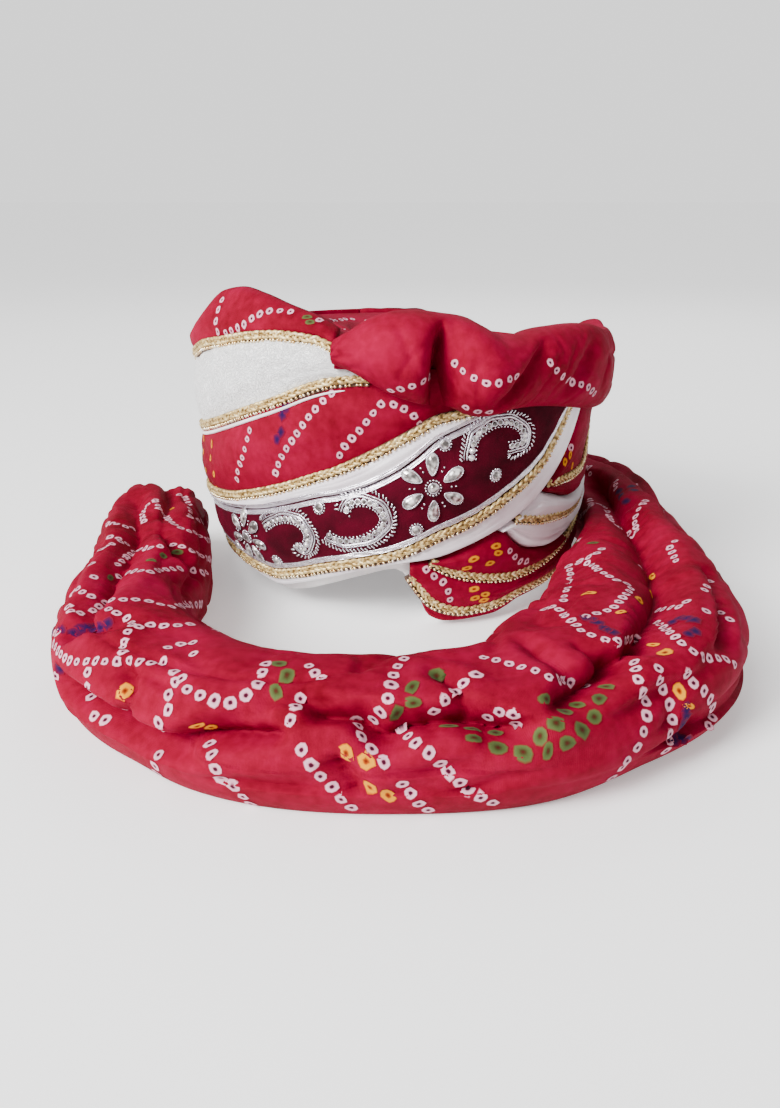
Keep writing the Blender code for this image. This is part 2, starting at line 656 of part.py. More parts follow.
def fold_pinch(share, turn):
    """How far the section is drawn in at this share of the length and angle round the section."""
    drawn = 0.0
    for start, stop, from_side, to_side, depth, spread in TAIL_FOLDS:
        along = (share - start) / (stop - start)
        if 0 < along < 1:
            side = blend(from_side, to_side, along)
            off = (turn - side + 180) % 360 - 180
            drawn += depth * math.sin(math.pi * along) ** 0.5 * math.exp(-(off / spread) ** 2 * 2)
    return min(drawn, 0.6)


def make_tail():
    """The gathered tail, a soft roll with folds along it, flat where it lies on the floor."""
    samples = 400
    states = [tail_state((len(TAIL_ROUTE) - 1) * i / samples) for i in range(samples + 1)]
    lengths = [0.0]
    for a, b in zip(states, states[1:]):
        lengths.append(lengths[-1] + (b[0] - a[0]).length)
    steps = round(lengths[-1] / TAIL_SECTION_STEP)
    sections = []
    for step in range(steps + 1):
        want = lengths[-1] * step / steps
        i = min(bisect.bisect_left(lengths, want), samples - 1)
        i = max(i, 1)
        middle, width, height = states[i]
        along = (states[i + 1][0] - states[i - 1][0]).normalized()
        inward = along.cross(Vector((0, 0, 1)))
        shrink = (0.90, 1.0)[min(step, 1)] * (0.72, 0.93, 1.0)[min(steps - step, 2)]
        ring = []
        for side in range(TAIL_SIDES):
            turn = 360.0 * side / TAIL_SIDES
            c, s = math.cos(math.radians(turn)), math.sin(math.radians(turn))
            full = shrink * (1 - fold_pinch(step / steps, turn))
            across = -width / 2 * math.copysign(abs(c) ** 0.85, c) * (full if s > -0.3 else shrink)
            up = 0.46 + 0.54 * math.copysign(abs(s) ** 0.9, s) * full if s > 0 else 0.46 * (1 - min(1.0, -s * 1.35))
            ring.append(middle + inward * across + Vector((0, 0, height * shrink * up)))
        sections.append(ring)
    loft("tail", sections, RED)


ROOT_PLEATS = (0.55, 1.0, 0.7, 1.0, 0.7, 1.0, 0.55)
ROOT_ROWS = (0.0, 0.05, 0.12, 0.22, 0.40, 0.70, 1.0)


def tail_top(angle):
    """Height of the tail's back, at an angle near its start."""
    angles = [row[0] for row in TAIL_ROUTE]
    row = next(i for i in range(len(angles)) if angles[i + 1] <= angle <= angles[i])
    return tail_state(row + (angle - angles[row]) / (angles[row + 1] - angles[row]))[2]


def make_tail_root():
    """The gathered cloth that comes down the back, between the ends of the wraps, and spreads onto the tail."""
    edge_angle = math.degrees(ROOT_WIDTH / 2 / (HEAD_WIDTH / 2 + WALL_THICKNESS)) - 0.4
    front_angles = [180 + edge_angle * (2 * i / (len(ROOT_PLEATS) - 1) - 1) for i in range(len(ROOT_PLEATS))]
    sections = []
    for share in ROOT_ROWS:
        fullness = blend(1.0, 0.62, share)
        spread = ROOT_SPREAD * max(0.0, 1 - share / 0.30) ** 2
        ring = []
        for angle, pleat in zip(front_angles, ROOT_PLEATS):
            height = blend(tail_top(angle) + SEAT_GAP, WALL_HEIGHT - EDGE_GAP, share)
            ring.append(wall_point(angle, height, SEAT_GAP + ROOT_THICKNESS * fullness * pleat + spread))
        for angle in (180 + edge_angle, 190, 180, 170, 180 - edge_angle):
            height = blend(tail_top(angle) + SEAT_GAP, WALL_HEIGHT - EDGE_GAP, share)
            ring.append(wall_point(angle, height, SEAT_GAP))
        sections.append(ring)
    loft("tail_root", sections, RED)


def velvet_point(velvet, angle, share):
    """A point on the velvet band's outer face, at an angle and a share of its width from its lower edge."""
    angles, rows = velvet
    i = min(max(bisect.bisect_right(angles, angle) - 1, 0), len(angles) - 2)
    t = (angle - angles[i]) / (angles[i + 1] - angles[i])
    keys = [1 - s for s in OUTER_SHARES][::-1]
    k = min(max(bisect.bisect_right(keys, share) - 1, 0), len(keys) - 2)
    u = (share - keys[k]) / (keys[k + 1] - keys[k])
    return rows[i][k].lerp(rows[i][k + 1], u).lerp(rows[i + 1][k].lerp(rows[i + 1][k + 1], u), t)


def velvet_frame(velvet, angle, share):
    """Origin on the velvet, and its directions to the right along the band, up across it, and outwards."""
    origin = velvet_point(velvet, angle, share)
    right = (velvet_point(velvet, angle + 2, share) - velvet_point(velvet, angle - 2, share)).normalized()
    up = velvet_point(velvet, angle, share + 0.08) - velvet_point(velvet, angle, share - 0.08)
    out = right.cross(up).normalized()
    return origin, right, out.cross(right).normalized(), out


def stone_lift(velvet, frame, angle, share, radius):
    """How far a flat stone must stand off so that its whole back clears the curved velvet."""
    origin, right, up, out = frame
    across = (velvet_point(velvet, angle, 1.0) - velvet_point(velvet, angle, 0.0)).length
    per_degree = (velvet_point(velvet, angle + 2, share) - velvet_point(velvet, angle - 2, share)).length / 4
    highest = 0.0
    for i in range(12):
        turn = math.radians(30 * i)
        near = velvet_point(velvet, angle + radius * math.cos(turn) / per_degree,
                            min(1.0, max(0.0, share + radius * math.sin(turn) / across)))
        highest = max(highest, (near - origin).dot(out))
    return highest + SEAT_GAP


def cut_stone(name, frame, lift, centre, turn, outline):
    """A stone with a girdle and a flat table, on the velvet, in its thin silver rim."""
    origin, right, up, out = frame
    c, s = math.cos(turn), math.sin(turn)
    points = []
    for scale, height in ((1.0, 0.0), (1.0, 0.5), (0.62, 1.0)):
        for x, y in outline:
            at = (centre[0] + scale * (x * c - y * s), centre[1] + scale * (x * s + y * c))
            points.append(origin + right * at[0] + up * at[1] + out * (lift + STONE_HEIGHT * height))
    count = len(outline)
    faces = [tuple(reversed(range(count))), tuple(range(2 * count, 3 * count))]
    for ring in (0, count):
        for i in range(count):
            j = (i + 1) % count
            faces.append((ring + i, ring + j, ring + count + j, ring + count + i))
    add_object(name, points, faces, CRYSTAL, shaded_angle=15.0)


def drop_outline(length, width):
    """A drop with its point towards the flower's middle."""
    sides = 10
    points = []
    for i in range(sides):
        turn = 2 * math.pi * i / sides
        taper = 0.72 + 0.28 * math.cos(turn)
        points.append((length / 2 * math.cos(turn), width / 2 * math.sin(turn) * (0.55 + 0.6 * taper)))
    return points


def round_outline(diameter):
    sides = 8
    return [
        (diameter / 2 * math.cos(2 * math.pi * i / sides), diameter / 2 * math.sin(2 * math.pi * i / sides))
        for i in range(sides)
    ]


def make_flowers(velvet):
    """Flowers of drop-cut stones round a round one."""
    for name, (angle, share, petals, first_turn, size) in FLOWERS.items():
        radius, length = FLOWER_RADIUS * size, PETAL_LENGTH * size
        frame = velvet_frame(velvet, angle, share)
        lift = stone_lift(velvet, frame, angle, share, radius + length / 2)
        cut_stone(f"{name}_heart", frame, lift, (0, 0), 0, round_outline(STONE_DIAMETER * size))
        for petal in range(petals):
            turn = math.radians(first_turn + 360 * petal / petals)
            centre = (radius * math.cos(turn), radius * math.sin(turn))
            outline = drop_outline(length, PETAL_WIDTH * size)
            cut_stone(f"{name}_petal_{petal + 1}", frame, lift, centre, turn, outline)


def make_round_stones(velvet):
    for number, (angle, share) in enumerate(ROUND_STONES, 1):
        frame = velvet_frame(velvet, angle, share)
        lift = stone_lift(velvet, frame, angle, share, STONE_DIAMETER / 2)
        cut_stone(f"round_stone_{number}", frame, lift, (0, 0), 0, round_outline(STONE_DIAMETER * 0.8))


def make_scrolls(velvet):
    """Curled sprays of stones set in silver wire, each one string fused into one body."""
    for name, route in SCROLLS.items():
        samples = 60
        path = []
        for i in range(samples + 1):
            t = (len(route) - 1) * i / samples
            path.append((spline(route, 0, t), spline(route, 1, t)))
        spots = [velvet_point(velvet, *p) for p in path]
        lengths = [0.0]
        for a, b in zip(spots, spots[1:]):
            lengths.append(lengths[-1] + (b - a).length)
        stones = max(3, round(lengths[-1] / SCROLL_PITCH))
        sections = []
        for step in range(2 * stones + 1):
            i = min(max(bisect.bisect_left(lengths, lengths[-1] * step / (2 * stones)), 1), samples - 1)
            along = (spots[i + 1] - spots[i - 1]).normalized()
            frame = velvet_frame(velvet, *path[i])
            out = frame[3]
            side = out.cross(along).normalized()
            lift = stone_lift(velvet, frame, *path[i], SCROLL_WIDTH)
            size = 1.0 if step % 2 else 0.62
            half, tall = SCROLL_WIDTH / 2 * size, SCROLL_HEIGHT * size
            base = spots[i] + out * lift
            sections.append([
                base + side * half,
                base + side * half + out * tall * 0.5,
                base + side * half * 0.5 + out * tall,
                base - side * half * 0.5 + out * tall,
                base - side * half + out * tall * 0.5,
                base - side * half,
            ])
        loft(name, sections, SILVER)


def main():
    for existing in list(bpy.data.objects):
        bpy.data.objects.remove(existing)
    make_wall()
    velvet = make_left_wraps()
    make_right_wraps()
    make_crown_cover()
    make_crest()
    make_tail()
    make_tail_root()
    make_flowers(velvet)
    make_round_stones(velvet)
    make_scrolls(velvet)


main()
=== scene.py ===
# %% [markdown]
# # A tied wedding turban
#
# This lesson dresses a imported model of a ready-tied turban: red tie-dyed cotton, white satin and brocade, a
# jewelled velvet band, plaited gold braid and a long rolled tail on the floor.
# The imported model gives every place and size. Each cell below makes one thing and says why it is made that way.
# Lengths are in metres. Angles go round the turban in degrees, with 0 at the front and 90 at the picture's right.

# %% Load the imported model
import json
import math

import bpy
import numpy as np
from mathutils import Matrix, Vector
from mathutils.bvhtree import BVHTree

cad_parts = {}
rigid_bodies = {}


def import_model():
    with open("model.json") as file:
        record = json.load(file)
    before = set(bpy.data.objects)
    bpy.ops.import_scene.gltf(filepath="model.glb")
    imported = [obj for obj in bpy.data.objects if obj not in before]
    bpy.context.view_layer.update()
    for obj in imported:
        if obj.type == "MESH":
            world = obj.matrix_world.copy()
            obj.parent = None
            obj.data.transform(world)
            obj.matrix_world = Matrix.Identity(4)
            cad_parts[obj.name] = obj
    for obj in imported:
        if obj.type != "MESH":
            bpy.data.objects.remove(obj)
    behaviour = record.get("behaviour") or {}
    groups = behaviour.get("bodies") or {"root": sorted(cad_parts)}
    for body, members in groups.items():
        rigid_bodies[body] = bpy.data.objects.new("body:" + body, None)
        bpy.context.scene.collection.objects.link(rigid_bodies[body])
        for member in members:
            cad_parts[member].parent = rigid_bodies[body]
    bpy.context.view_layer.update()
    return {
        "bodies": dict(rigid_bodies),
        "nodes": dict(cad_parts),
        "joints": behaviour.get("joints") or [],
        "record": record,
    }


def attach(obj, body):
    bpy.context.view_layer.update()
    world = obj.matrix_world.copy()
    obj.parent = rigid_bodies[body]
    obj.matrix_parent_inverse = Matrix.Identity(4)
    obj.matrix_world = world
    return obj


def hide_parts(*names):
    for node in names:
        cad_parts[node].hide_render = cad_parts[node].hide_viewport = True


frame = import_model()

# %% [markdown]
# ## Camera and light
#
# A product photograph is taken a little from above, with the long side of the picture upright.
# The camera is placed from the turban's own middle, so it stays right if the turban moves.
# Three soft lamps near the turban shape it, and one wide lamp from afar lights the floor evenly. The sky lights
# the scene only faintly, but the camera sees it brighter, as a pale backdrop.

# %% Set up the camera
TURBAN_X, TURBAN_Y = 0.0040, 0.0655
CAMERA_AT = Vector((TURBAN_X - 0.003, TURBAN_Y - 0.66, 0.23))
CAMERA_DOWN = math.radians(19.18)
PICTURE = (780, 1108)
FOCAL_PIXELS, SENSOR_HEIGHT = 1030.0, 36.0

camera = bpy.data.objects.new("camera", bpy.data.cameras.new("camera"))
camera.location = CAMERA_AT
camera.rotation_euler = (math.pi / 2 - CAMERA_DOWN, 0, 0)
camera.data.sensor_fit = "VERTICAL"
camera.data.sensor_height = SENSOR_HEIGHT
camera.data.lens = SENSOR_HEIGHT * FOCAL_PIXELS / PICTURE[1]
camera.data.clip_start = 0.01
bpy.context.scene.collection.objects.link(camera)
bpy.context.scene.camera = camera
print("lens", round(camera.data.lens, 2), "mm")


# %% Set up the lamps
# Columns: name, place, aim, size in metres, power in watts, tint
SOFT_LAMPS = (
    ("key_lamp", (-1.2, -1.2, 1.0), (0, 0, 0.08), 0.7, 62, (1, 1, 1)),
    ("fill_lamp", (1.3, -0.7, 0.9), (0, 0, 0.08), 1.2, 4, (1.0, 0.97, 0.95)),
    ("back_lamp", (0.3, 1.4, 1.3), (0, 0, 0.1), 1.0, 10, (1, 1, 1)),
)
EVEN_LIGHT, EVEN_SPREAD, EVEN_FROM = 3.4, math.radians(35), Vector((-1.3, -1.1, 1.6))

for name, place, aim, size, power, tint in SOFT_LAMPS:
    lamp = bpy.data.objects.new(name, bpy.data.lights.new(name, "AREA"))
    lamp.data.size, lamp.data.energy, lamp.data.color = size, power, tint
    lamp.location = place
    lamp.rotation_euler = (Vector(aim) - Vector(place)).to_track_quat("-Z", "Y").to_euler()
    bpy.context.scene.collection.objects.link(lamp)
even_lamp = bpy.data.objects.new("even_lamp", bpy.data.lights.new("even_lamp", "SUN"))
even_lamp.data.energy, even_lamp.data.angle = EVEN_LIGHT, EVEN_SPREAD
even_lamp.rotation_euler = EVEN_FROM.to_track_quat("Z", "Y").to_euler()
bpy.context.scene.collection.objects.link(even_lamp)

# %% Set up the sky
SKY_LIGHT, SKY_SEEN = 0.42, 1.75

sky = bpy.data.worlds.new("studio_sky")
bpy.context.scene.world = sky
sky.use_nodes = True
sky_nodes = sky.node_tree.nodes
lit, seen = sky_nodes["Background"], sky_nodes.new("ShaderNodeBackground")
lit.inputs["Color"].default_value = (1, 1, 1, 1)
lit.inputs["Strength"].default_value = SKY_LIGHT
seen.inputs["Strength"].default_value = SKY_SEEN
choice, ray_kind = sky_nodes.new("ShaderNodeMixShader"), sky_nodes.new("ShaderNodeLightPath")
for source, target in ((ray_kind.outputs["Is Camera Ray"], choice.inputs[0]), (lit.outputs[0], choice.inputs[1]),
                       (seen.outputs[0], choice.inputs[2]),
                       (choice.outputs[0], sky_nodes["World Output"].inputs["Surface"])):
    sky.node_tree.links.new(source, target)

# %% [markdown]
# ## Finishes
#
# Cloth reads as cloth through three things: a fine weave in its bump, a soft sheen at grazing angles, and a
# colour that wanders a little. One helper builds all three from noise and wave textures.
# The weave follows the cloth itself, through a map in metres that each cloth carries.


# %% A helper for node materials
BAND_WIDTH = 0.314  # width of one band of a wave texture at scale 1


class Finish:
    """A Principled material and short ways to add nodes to it."""

    def __init__(self, name, colour, roughness, metallic=0.0, sheen=0.0, sheen_roughness=0.5, coat=0.0):
        self.material = bpy.data.materials.new(name)
        self.material.use_nodes = True
        self.material.diffuse_color = (*colour, 1.0)
        self.tree = self.material.node_tree
        self.shader = self.tree.nodes["Principled BSDF"]
        settings = {"Base Color": (*colour, 1.0), "Roughness": roughness, "Metallic": metallic,
                    "Sheen Weight": sheen, "Sheen Roughness": sheen_roughness, "Coat Weight": coat}
        for socket, value in settings.items():
            self.shader.inputs[socket].default_value = value

    def feed(self, socket, value):
        """Link another node's output to a socket, or set the socket to a plain value."""
        if isinstance(value, bpy.types.NodeSocket):
            self.tree.links.new(value, socket)
        else:
            socket.default_value = value

    def node(self, kind, **inputs):
        made = self.tree.nodes.new(kind)
        for name, value in inputs.items():
            self.feed(made.inputs[name], value)
        return made

    def math(self, operation, *values):
        made = self.tree.nodes.new("ShaderNodeMath")
        made.operation = operation
        for socket, value in zip(made.inputs, values):
            self.feed(socket, value)
        return made.outputs[0]

    def place(self, kind):
        """Coordinates of the object ("Object") or of its cloth map ("UV")."""
        return self.tree.nodes.new("ShaderNodeTexCoord").outputs[kind]

    def noise(self, scale, detail=3.0):
        return self.node("ShaderNodeTexNoise", Vector=self.place("Object"), Scale=scale, Detail=detail).outputs["Fac"]

    def ramp(self, source, stops):
        """Colours read off a scale of (place, colour) stops."""
        made = self.node("ShaderNodeValToRGB", Fac=source)
        for element, (at, colour) in zip(made.color_ramp.elements, (stops[0], stops[-1])):
            element.position, element.color = at, (*colour, 1)
        for at, colour in stops[1:-1]:
            made.color_ramp.elements.new(at).color = (*colour, 1)
        return made.outputs["Color"]

    def colour_from(self, source):
        self.tree.links.new(source, self.shader.inputs["Base Color"])

    def bump(self, height, distance, strength=1.0):
        """Relief of this height in metres, on top of any relief that is there already."""
        before = self.shader.inputs["Normal"].links
        made = self.node("ShaderNodeBump", Height=height, Distance=distance, Strength=strength)
        if before:
            self.tree.links.new(before[0].from_socket, made.inputs["Normal"])
        self.tree.links.new(made.outputs["Normal"], self.shader.inputs["Normal"])

    def weave(self, thread, depth):
        """Two crossing sets of threads, each of this width."""
        waves = []
        for direction in ("X", "Y"):
            made = self.node("ShaderNodeTexWave", Vector=self.place("UV"), Scale=BAND_WIDTH / thread, Distortion=0.4)
            made.bands_direction = direction
            waves.append(made.outputs["Fac"])
        self.bump(self.math("MAXIMUM", *waves), depth)


# %% [markdown]
# The red cloth is mulmul cotton dyed in a strong crimson. It is deeper where the dye pooled, so two noises of
# different size mix three reds. White satin and brocade get a soft coat. Velvet is nearly black red, with a short
# deep pile, a red sheen and hardly any gloss.

# %% Make the cloth finishes
CLOTH_RED = (0.20, 0.0, 0.016)

RED = Finish("red_tie_dyed_cloth", CLOTH_RED, 0.74, sheen=0.015, sheen_roughness=0.4)
RED.shader.inputs["Sheen Tint"].default_value = (1.0, 0.04, 0.16, 1)
RED.shader.inputs["Specular IOR Level"].default_value = 0.06
pooled = RED.math("ADD", RED.math("MULTIPLY", RED.noise(26), 0.65), RED.math("MULTIPLY", RED.noise(230), 0.35))
RED.colour_from(RED.ramp(pooled, ((0.28, (0.105, 0.0, 0.004)), (0.50, CLOTH_RED), (0.76, (0.30, 0.0, 0.035)))))
RED.weave(0.00038, 0.00006)
RED.bump(RED.noise(120, 4), 0.0006, 0.5)

SATIN = Finish("white_satin", (0.86, 0.80, 0.83), 0.34, sheen=0.25, coat=0.12)
SATIN.colour_from(SATIN.ramp(SATIN.noise(34), ((0.35, (0.74, 0.66, 0.71)), (0.66, (0.92, 0.87, 0.90)))))
SATIN.weave(0.00030, 0.00003)
SATIN.bump(SATIN.noise(90, 3), 0.0007, 0.5)

BASE = Finish("white_cotton_base", (0.84, 0.80, 0.80), 0.8, sheen=0.2)
BASE.colour_from(BASE.ramp(BASE.noise(40), ((0.35, (0.70, 0.66, 0.66)), (0.70, (0.90, 0.87, 0.86)))))
BASE.weave(0.00050, 0.00012)

VELVET = Finish("maroon_velvet", (0.055, 0.0, 0.006), 0.9, sheen=0.16, sheen_roughness=0.3)
VELVET.shader.inputs["Sheen Tint"].default_value = (0.60, 0.0, 0.07, 1)
VELVET.shader.inputs["Specular IOR Level"].default_value = 0.10
VELVET.colour_from(VELVET.ramp(VELVET.noise(60, 4), ((0.34, (0.034, 0.0, 0.004)), (0.68, (0.085, 0.0, 0.010)))))
VELVET.bump(VELVET.noise(1900, 2), 0.0006, 0.7)
print("cloth finishes", len(bpy.data.materials))

# %% [markdown]
# Brocade is woven with a raised pattern, white on white. Leaves and stems come from a bent cell texture, which
# is raised only a little. Its grooves are also painted a little darker, as painted shade.

# %% Make the brocade
BROCADE = Finish("white_brocade", (0.90, 0.89, 0.88), 0.46, sheen=0.2, coat=0.08)
sway = BROCADE.node("ShaderNodeTexNoise", Vector=BROCADE.place("UV"), Scale=70.0)
bent = BROCADE.node("ShaderNodeMixRGB", Fac=0.18, Color1=BROCADE.place("UV"), Color2=sway.outputs["Color"])
cells = BROCADE.node("ShaderNodeTexVoronoi", Vector=bent.outputs["Color"], Scale=95.0)
cells.feature = "DISTANCE_TO_EDGE"
leaf = BROCADE.ramp(cells.outputs["Distance"], ((0.05, (0, 0, 0)), (0.16, (1, 1, 1))))
BROCADE.bump(leaf, 0.0010, 0.8)
BROCADE.weave(0.00032, 0.00005)
# The colour is darker in the grooves of the leaf relief: painted shade.
BROCADE.colour_from(BROCADE.ramp(leaf, ((0.0, (0.80, 0.79, 0.79)), (1.0, (0.93, 0.92, 0.91)))))

# %% [markdown]
# Gold braid is pale metallic thread on a dark ground thread. Silver wire and clear stones finish the velvet.

# %% Make the metal and stone finishes
GOLD = Finish("gold_thread", (0.80, 0.64, 0.34), 0.42, metallic=0.55)
GOLD.colour_from(GOLD.ramp(GOLD.noise(420), ((0.34, (0.20, 0.11, 0.03)), (0.50, (0.60, 0.42, 0.16)),
                                             (0.66, (0.88, 0.74, 0.42)))))
GOLD.bump(GOLD.noise(2600, 2), 0.0003, 0.6)
BEAD = Finish("gold_bead", (0.86, 0.68, 0.42), 0.18, metallic=0.95)
BEAD.colour_from(BEAD.ramp(BEAD.noise(160), ((0.38, (0.70, 0.47, 0.22)), (0.56, (0.92, 0.78, 0.50)),
                                             (0.66, (0.93, 0.86, 0.76)))))
GROUND = Finish("dark_ground_thread", (0.05, 0.022, 0.012), 0.8)
GROUND.colour_from(GROUND.ramp(GROUND.noise(300), ((0.35, (0.030, 0.012, 0.008)), (0.7, (0.11, 0.05, 0.02)))))
SILVER = Finish("silver_wire", (0.84, 0.82, 0.86), 0.26, metallic=0.8)
SILVER.colour_from(SILVER.ramp(SILVER.noise(500), ((0.34, (0.62, 0.58, 0.66)), (0.66, (0.95, 0.93, 0.97)))))
SILVER.bump(SILVER.noise(2200, 2), 0.0002, 0.5)
CRYSTAL = Finish("clear_stone", (0.80, 0.79, 0.78), 0.06, metallic=0.35, coat=1.0)
# Grey-brown glass tone, with painted reflections as dark and pale patches over the facets.
CRYSTAL.colour_from(CRYSTAL.ramp(CRYSTAL.noise(330, 1), ((0.36, (0.10, 0.09, 0.085)), (0.50, (0.34, 0.31, 0.29)),
                                                         (0.64, (0.86, 0.84, 0.82)))))
DYE = Finish("dyed_rings", (0.9, 0.8, 0.8), 0.75, sheen=0.02)
DYE.shader.inputs["Specular IOR Level"].default_value = 0.10
DYE.colour_from(DYE.node("ShaderNodeAttribute").outputs["Color"])
DYE.tree.nodes["Attribute"].attribute_name = "dye"
DYE.bump(DYE.noise(1500, 2), 0.0002, 0.5)
print("finishes", len(bpy.data.materials))

# %% [markdown]
# ## The shape that everything lies on
#
# A turban is cloth wound round a head, so every band lies on one oval wall. The wall is described once, as a
# function of the angle, the height and the distance out from it. All cloth below is laid on it by that function.
# The tables hold heights as shares of the wall height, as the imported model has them.

# %% The oval wall
HEAD_WIDTH, HEAD_LENGTH = 0.160, 0.190
WALL_THICKNESS, WALL_FLARE, WALL_TUCK = 0.035, 0.003, 0.018
WALL_HEIGHT, WALL_TOP_DROP = 0.150, 0.006
TUCK_HEIGHT, TUCK_BLEND, RIM_DIP = 0.40 * WALL_HEIGHT, 0.004, 0.013
CROWN_LEAN = 0.40
WRAP_EDGE, WRAP_BELLY, CROSSING_LIFT = 0.0045, 0.0035, 0.0025
TUCK_ROUND = np.array(((-180, 0.50), (-120, 0.80), (-70, 1.00), (-35, 0.90), (0, 0.60), (40, 0.42), (120, 0.42),
                       (180, 0.50)))


def reading(table, column, keys):
    """A smooth reading of one column of a table, which never swings past the rows on either side."""
    x, y = table[:, 0], table[:, column]
    step, rise = np.diff(x), np.diff(y) / np.diff(x)
    slope = np.zeros(len(x))
    same = rise[1:] * rise[:-1] > 0
    both = step[1:] + step[:-1]
    mean = 3 * both / ((2 * step[1:] + step[:-1]) / np.where(same, rise[:-1], 1)
                       + (step[1:] + 2 * step[:-1]) / np.where(same, rise[1:], 1))
    slope[1:-1] = np.where(same, mean, 0)
    slope[0], slope[-1] = rise[0], rise[-1]
    keys = np.clip(np.asarray(keys, float), x[0], x[-1])
    i = np.clip(np.searchsorted(x, keys, side="right") - 1, 0, len(step) - 1)
    t = (keys - x[i]) / step[i]
    return ((2 * t ** 3 - 3 * t ** 2 + 1) * y[i] + (t ** 3 - 2 * t ** 2 + t) * step[i] * slope[i]
            + (3 * t ** 2 - 2 * t ** 3) * y[i + 1] + (t ** 3 - t ** 2) * step[i] * slope[i + 1])


def spline(rows, column, t):
    """Catmull-Rom reading of a column at row numbers with fractions."""
    last = len(rows) - 1
    i = np.clip(np.floor(t).astype(int), 0, last - 1)
    f = t - i
    p0, p1, p2, p3 = (rows[np.clip(i + k, 0, last), column] for k in (-1, 0, 1, 2))
    return 0.5 * (2 * p1 + (p2 - p0) * f + (2 * p0 - 5 * p1 + 4 * p2 - p3) * f ** 2
                  + (3 * p1 - p0 - 3 * p2 + p3) * f ** 3)


def smooth(t):
    """A soft step from 0 to 1 as t goes from 0 to 1."""
    t = np.clip(t, 0, 1)
    return t * t * (3 - 2 * t)


def unit(v):
    """The same directions with length 1."""
    return v / np.linalg.norm(v, axis=-1, keepdims=True)


def lean(height):
    """Cloth above the wall leans in over the crown."""
    return -CROWN_LEAN * np.maximum(0, height - WALL_HEIGHT)


def crossing_lift(angle):
    """The wraps of the crossing band stand off where they pass over the lappet."""
    return CROSSING_LIFT * smooth((angle + 25) / 35)


def rim_dip(angle):
    """How far the top of the turban sags at the back on the right, behind the crest."""
    angle = np.asarray(angle, float)
    return RIM_DIP * smooth((angle - 100) / 20) * smooth((174 - angle) / 26)


def on_wall(angle, height, out):
    """Points out from the wall's face, for arrays of angles and heights."""
    angle, height, out = np.broadcast_arrays(np.asarray(angle, float), height, out)
    below = (TUCK_HEIGHT - height) / TUCK_HEIGHT
    tucked = 0.5 * (below + np.sqrt(below ** 2 + TUCK_BLEND))
    flare = WALL_FLARE * np.clip((height - TUCK_HEIGHT) / (WALL_HEIGHT - TUCK_HEIGHT), 0, 1.2)
    tuck = WALL_TUCK * reading(TUCK_ROUND, 1, (angle + 180) % 360 - 180) * tucked
    beyond = WALL_THICKNESS - tuck + flare + out + lean(height)
    turn = np.radians(angle)
    return np.stack((TURBAN_X + (HEAD_WIDTH / 2 + beyond) * np.sin(turn),
                     TURBAN_Y - (HEAD_LENGTH / 2 + beyond) * np.cos(turn), height), axis=-1)


print("front of the wall", on_wall(0, 0.1, 0.0).round(4))


# %% Random hills for folds and wrinkles
HILL_ROWS, HILL_COLUMNS = 97, 89


def hills(u, v, seed, around=None):
    """Smooth random values from -1 to 1, one hill to a unit, which close on themselves after "around" units of v."""
    table = np.random.default_rng(seed).uniform(-1, 1, (HILL_ROWS, around or HILL_COLUMNS))
    u, v = np.broadcast_arrays(np.asarray(u, float), np.asarray(v, float))
    iu, iv = np.floor(u).astype(int), np.floor(v).astype(int)
    fu, fv = smooth(u - iu), smooth(v - iv)

    def at(du, dv):
        return table[(iu + du) % table.shape[0], (iv + dv) % table.shape[1]]

    return (at(0, 0) * (1 - fu) + at(1, 0) * fu) * (1 - fv) + (at(0, 1) * (1 - fu) + at(1, 1) * fu) * fv


def creases(u, v, seed, width=0.16, around=None):
    """Narrow wandering valleys, from 0 to 1, where the random hills cross zero."""
    return np.exp(-(hills(u, v, seed, around) / width) ** 2)


# %% [markdown]
# ## From points to cloth
#
# Every cloth here is a grid of points, so one helper turns a grid into a mesh. It can close the grid round, as
# for a tube, and cap its ends. It also writes a map in metres, which the weave follows.

# %% Grid and piece helpers
made_pieces = {}


def grid_faces(rows, columns, round_rows, round_columns, start=0):
    """The four corners of each face of a grid of points, which may close on its first row or column."""
    row_steps = rows if round_rows else rows - 1
    column_steps = columns if round_columns else columns - 1
    i, j = np.meshgrid(np.arange(row_steps), np.arange(column_steps), indexing="ij")
    i2, j2 = (i + 1) % rows, (j + 1) % columns
    corners = np.stack((i * columns + j, i2 * columns + j, i2 * columns + j2, i * columns + j2), axis=-1)
    return (start + corners).reshape(-1, 4)


def inside_out(mesh):
    """Whether a closed mesh encloses a negative volume."""
    mesh.calc_loop_triangles()
    corner = np.empty(3 * len(mesh.loop_triangles), np.int32)
    mesh.loop_triangles.foreach_get("vertices", corner)
    place = np.empty(3 * len(mesh.vertices), np.float32)
    mesh.vertices.foreach_get("co", place)
    a, b, c = np.moveaxis(place.astype(float).reshape(-1, 3)[corner].reshape(-1, 3, 3), 1, 0)
    return (a * np.cross(b, c)).sum() < 0


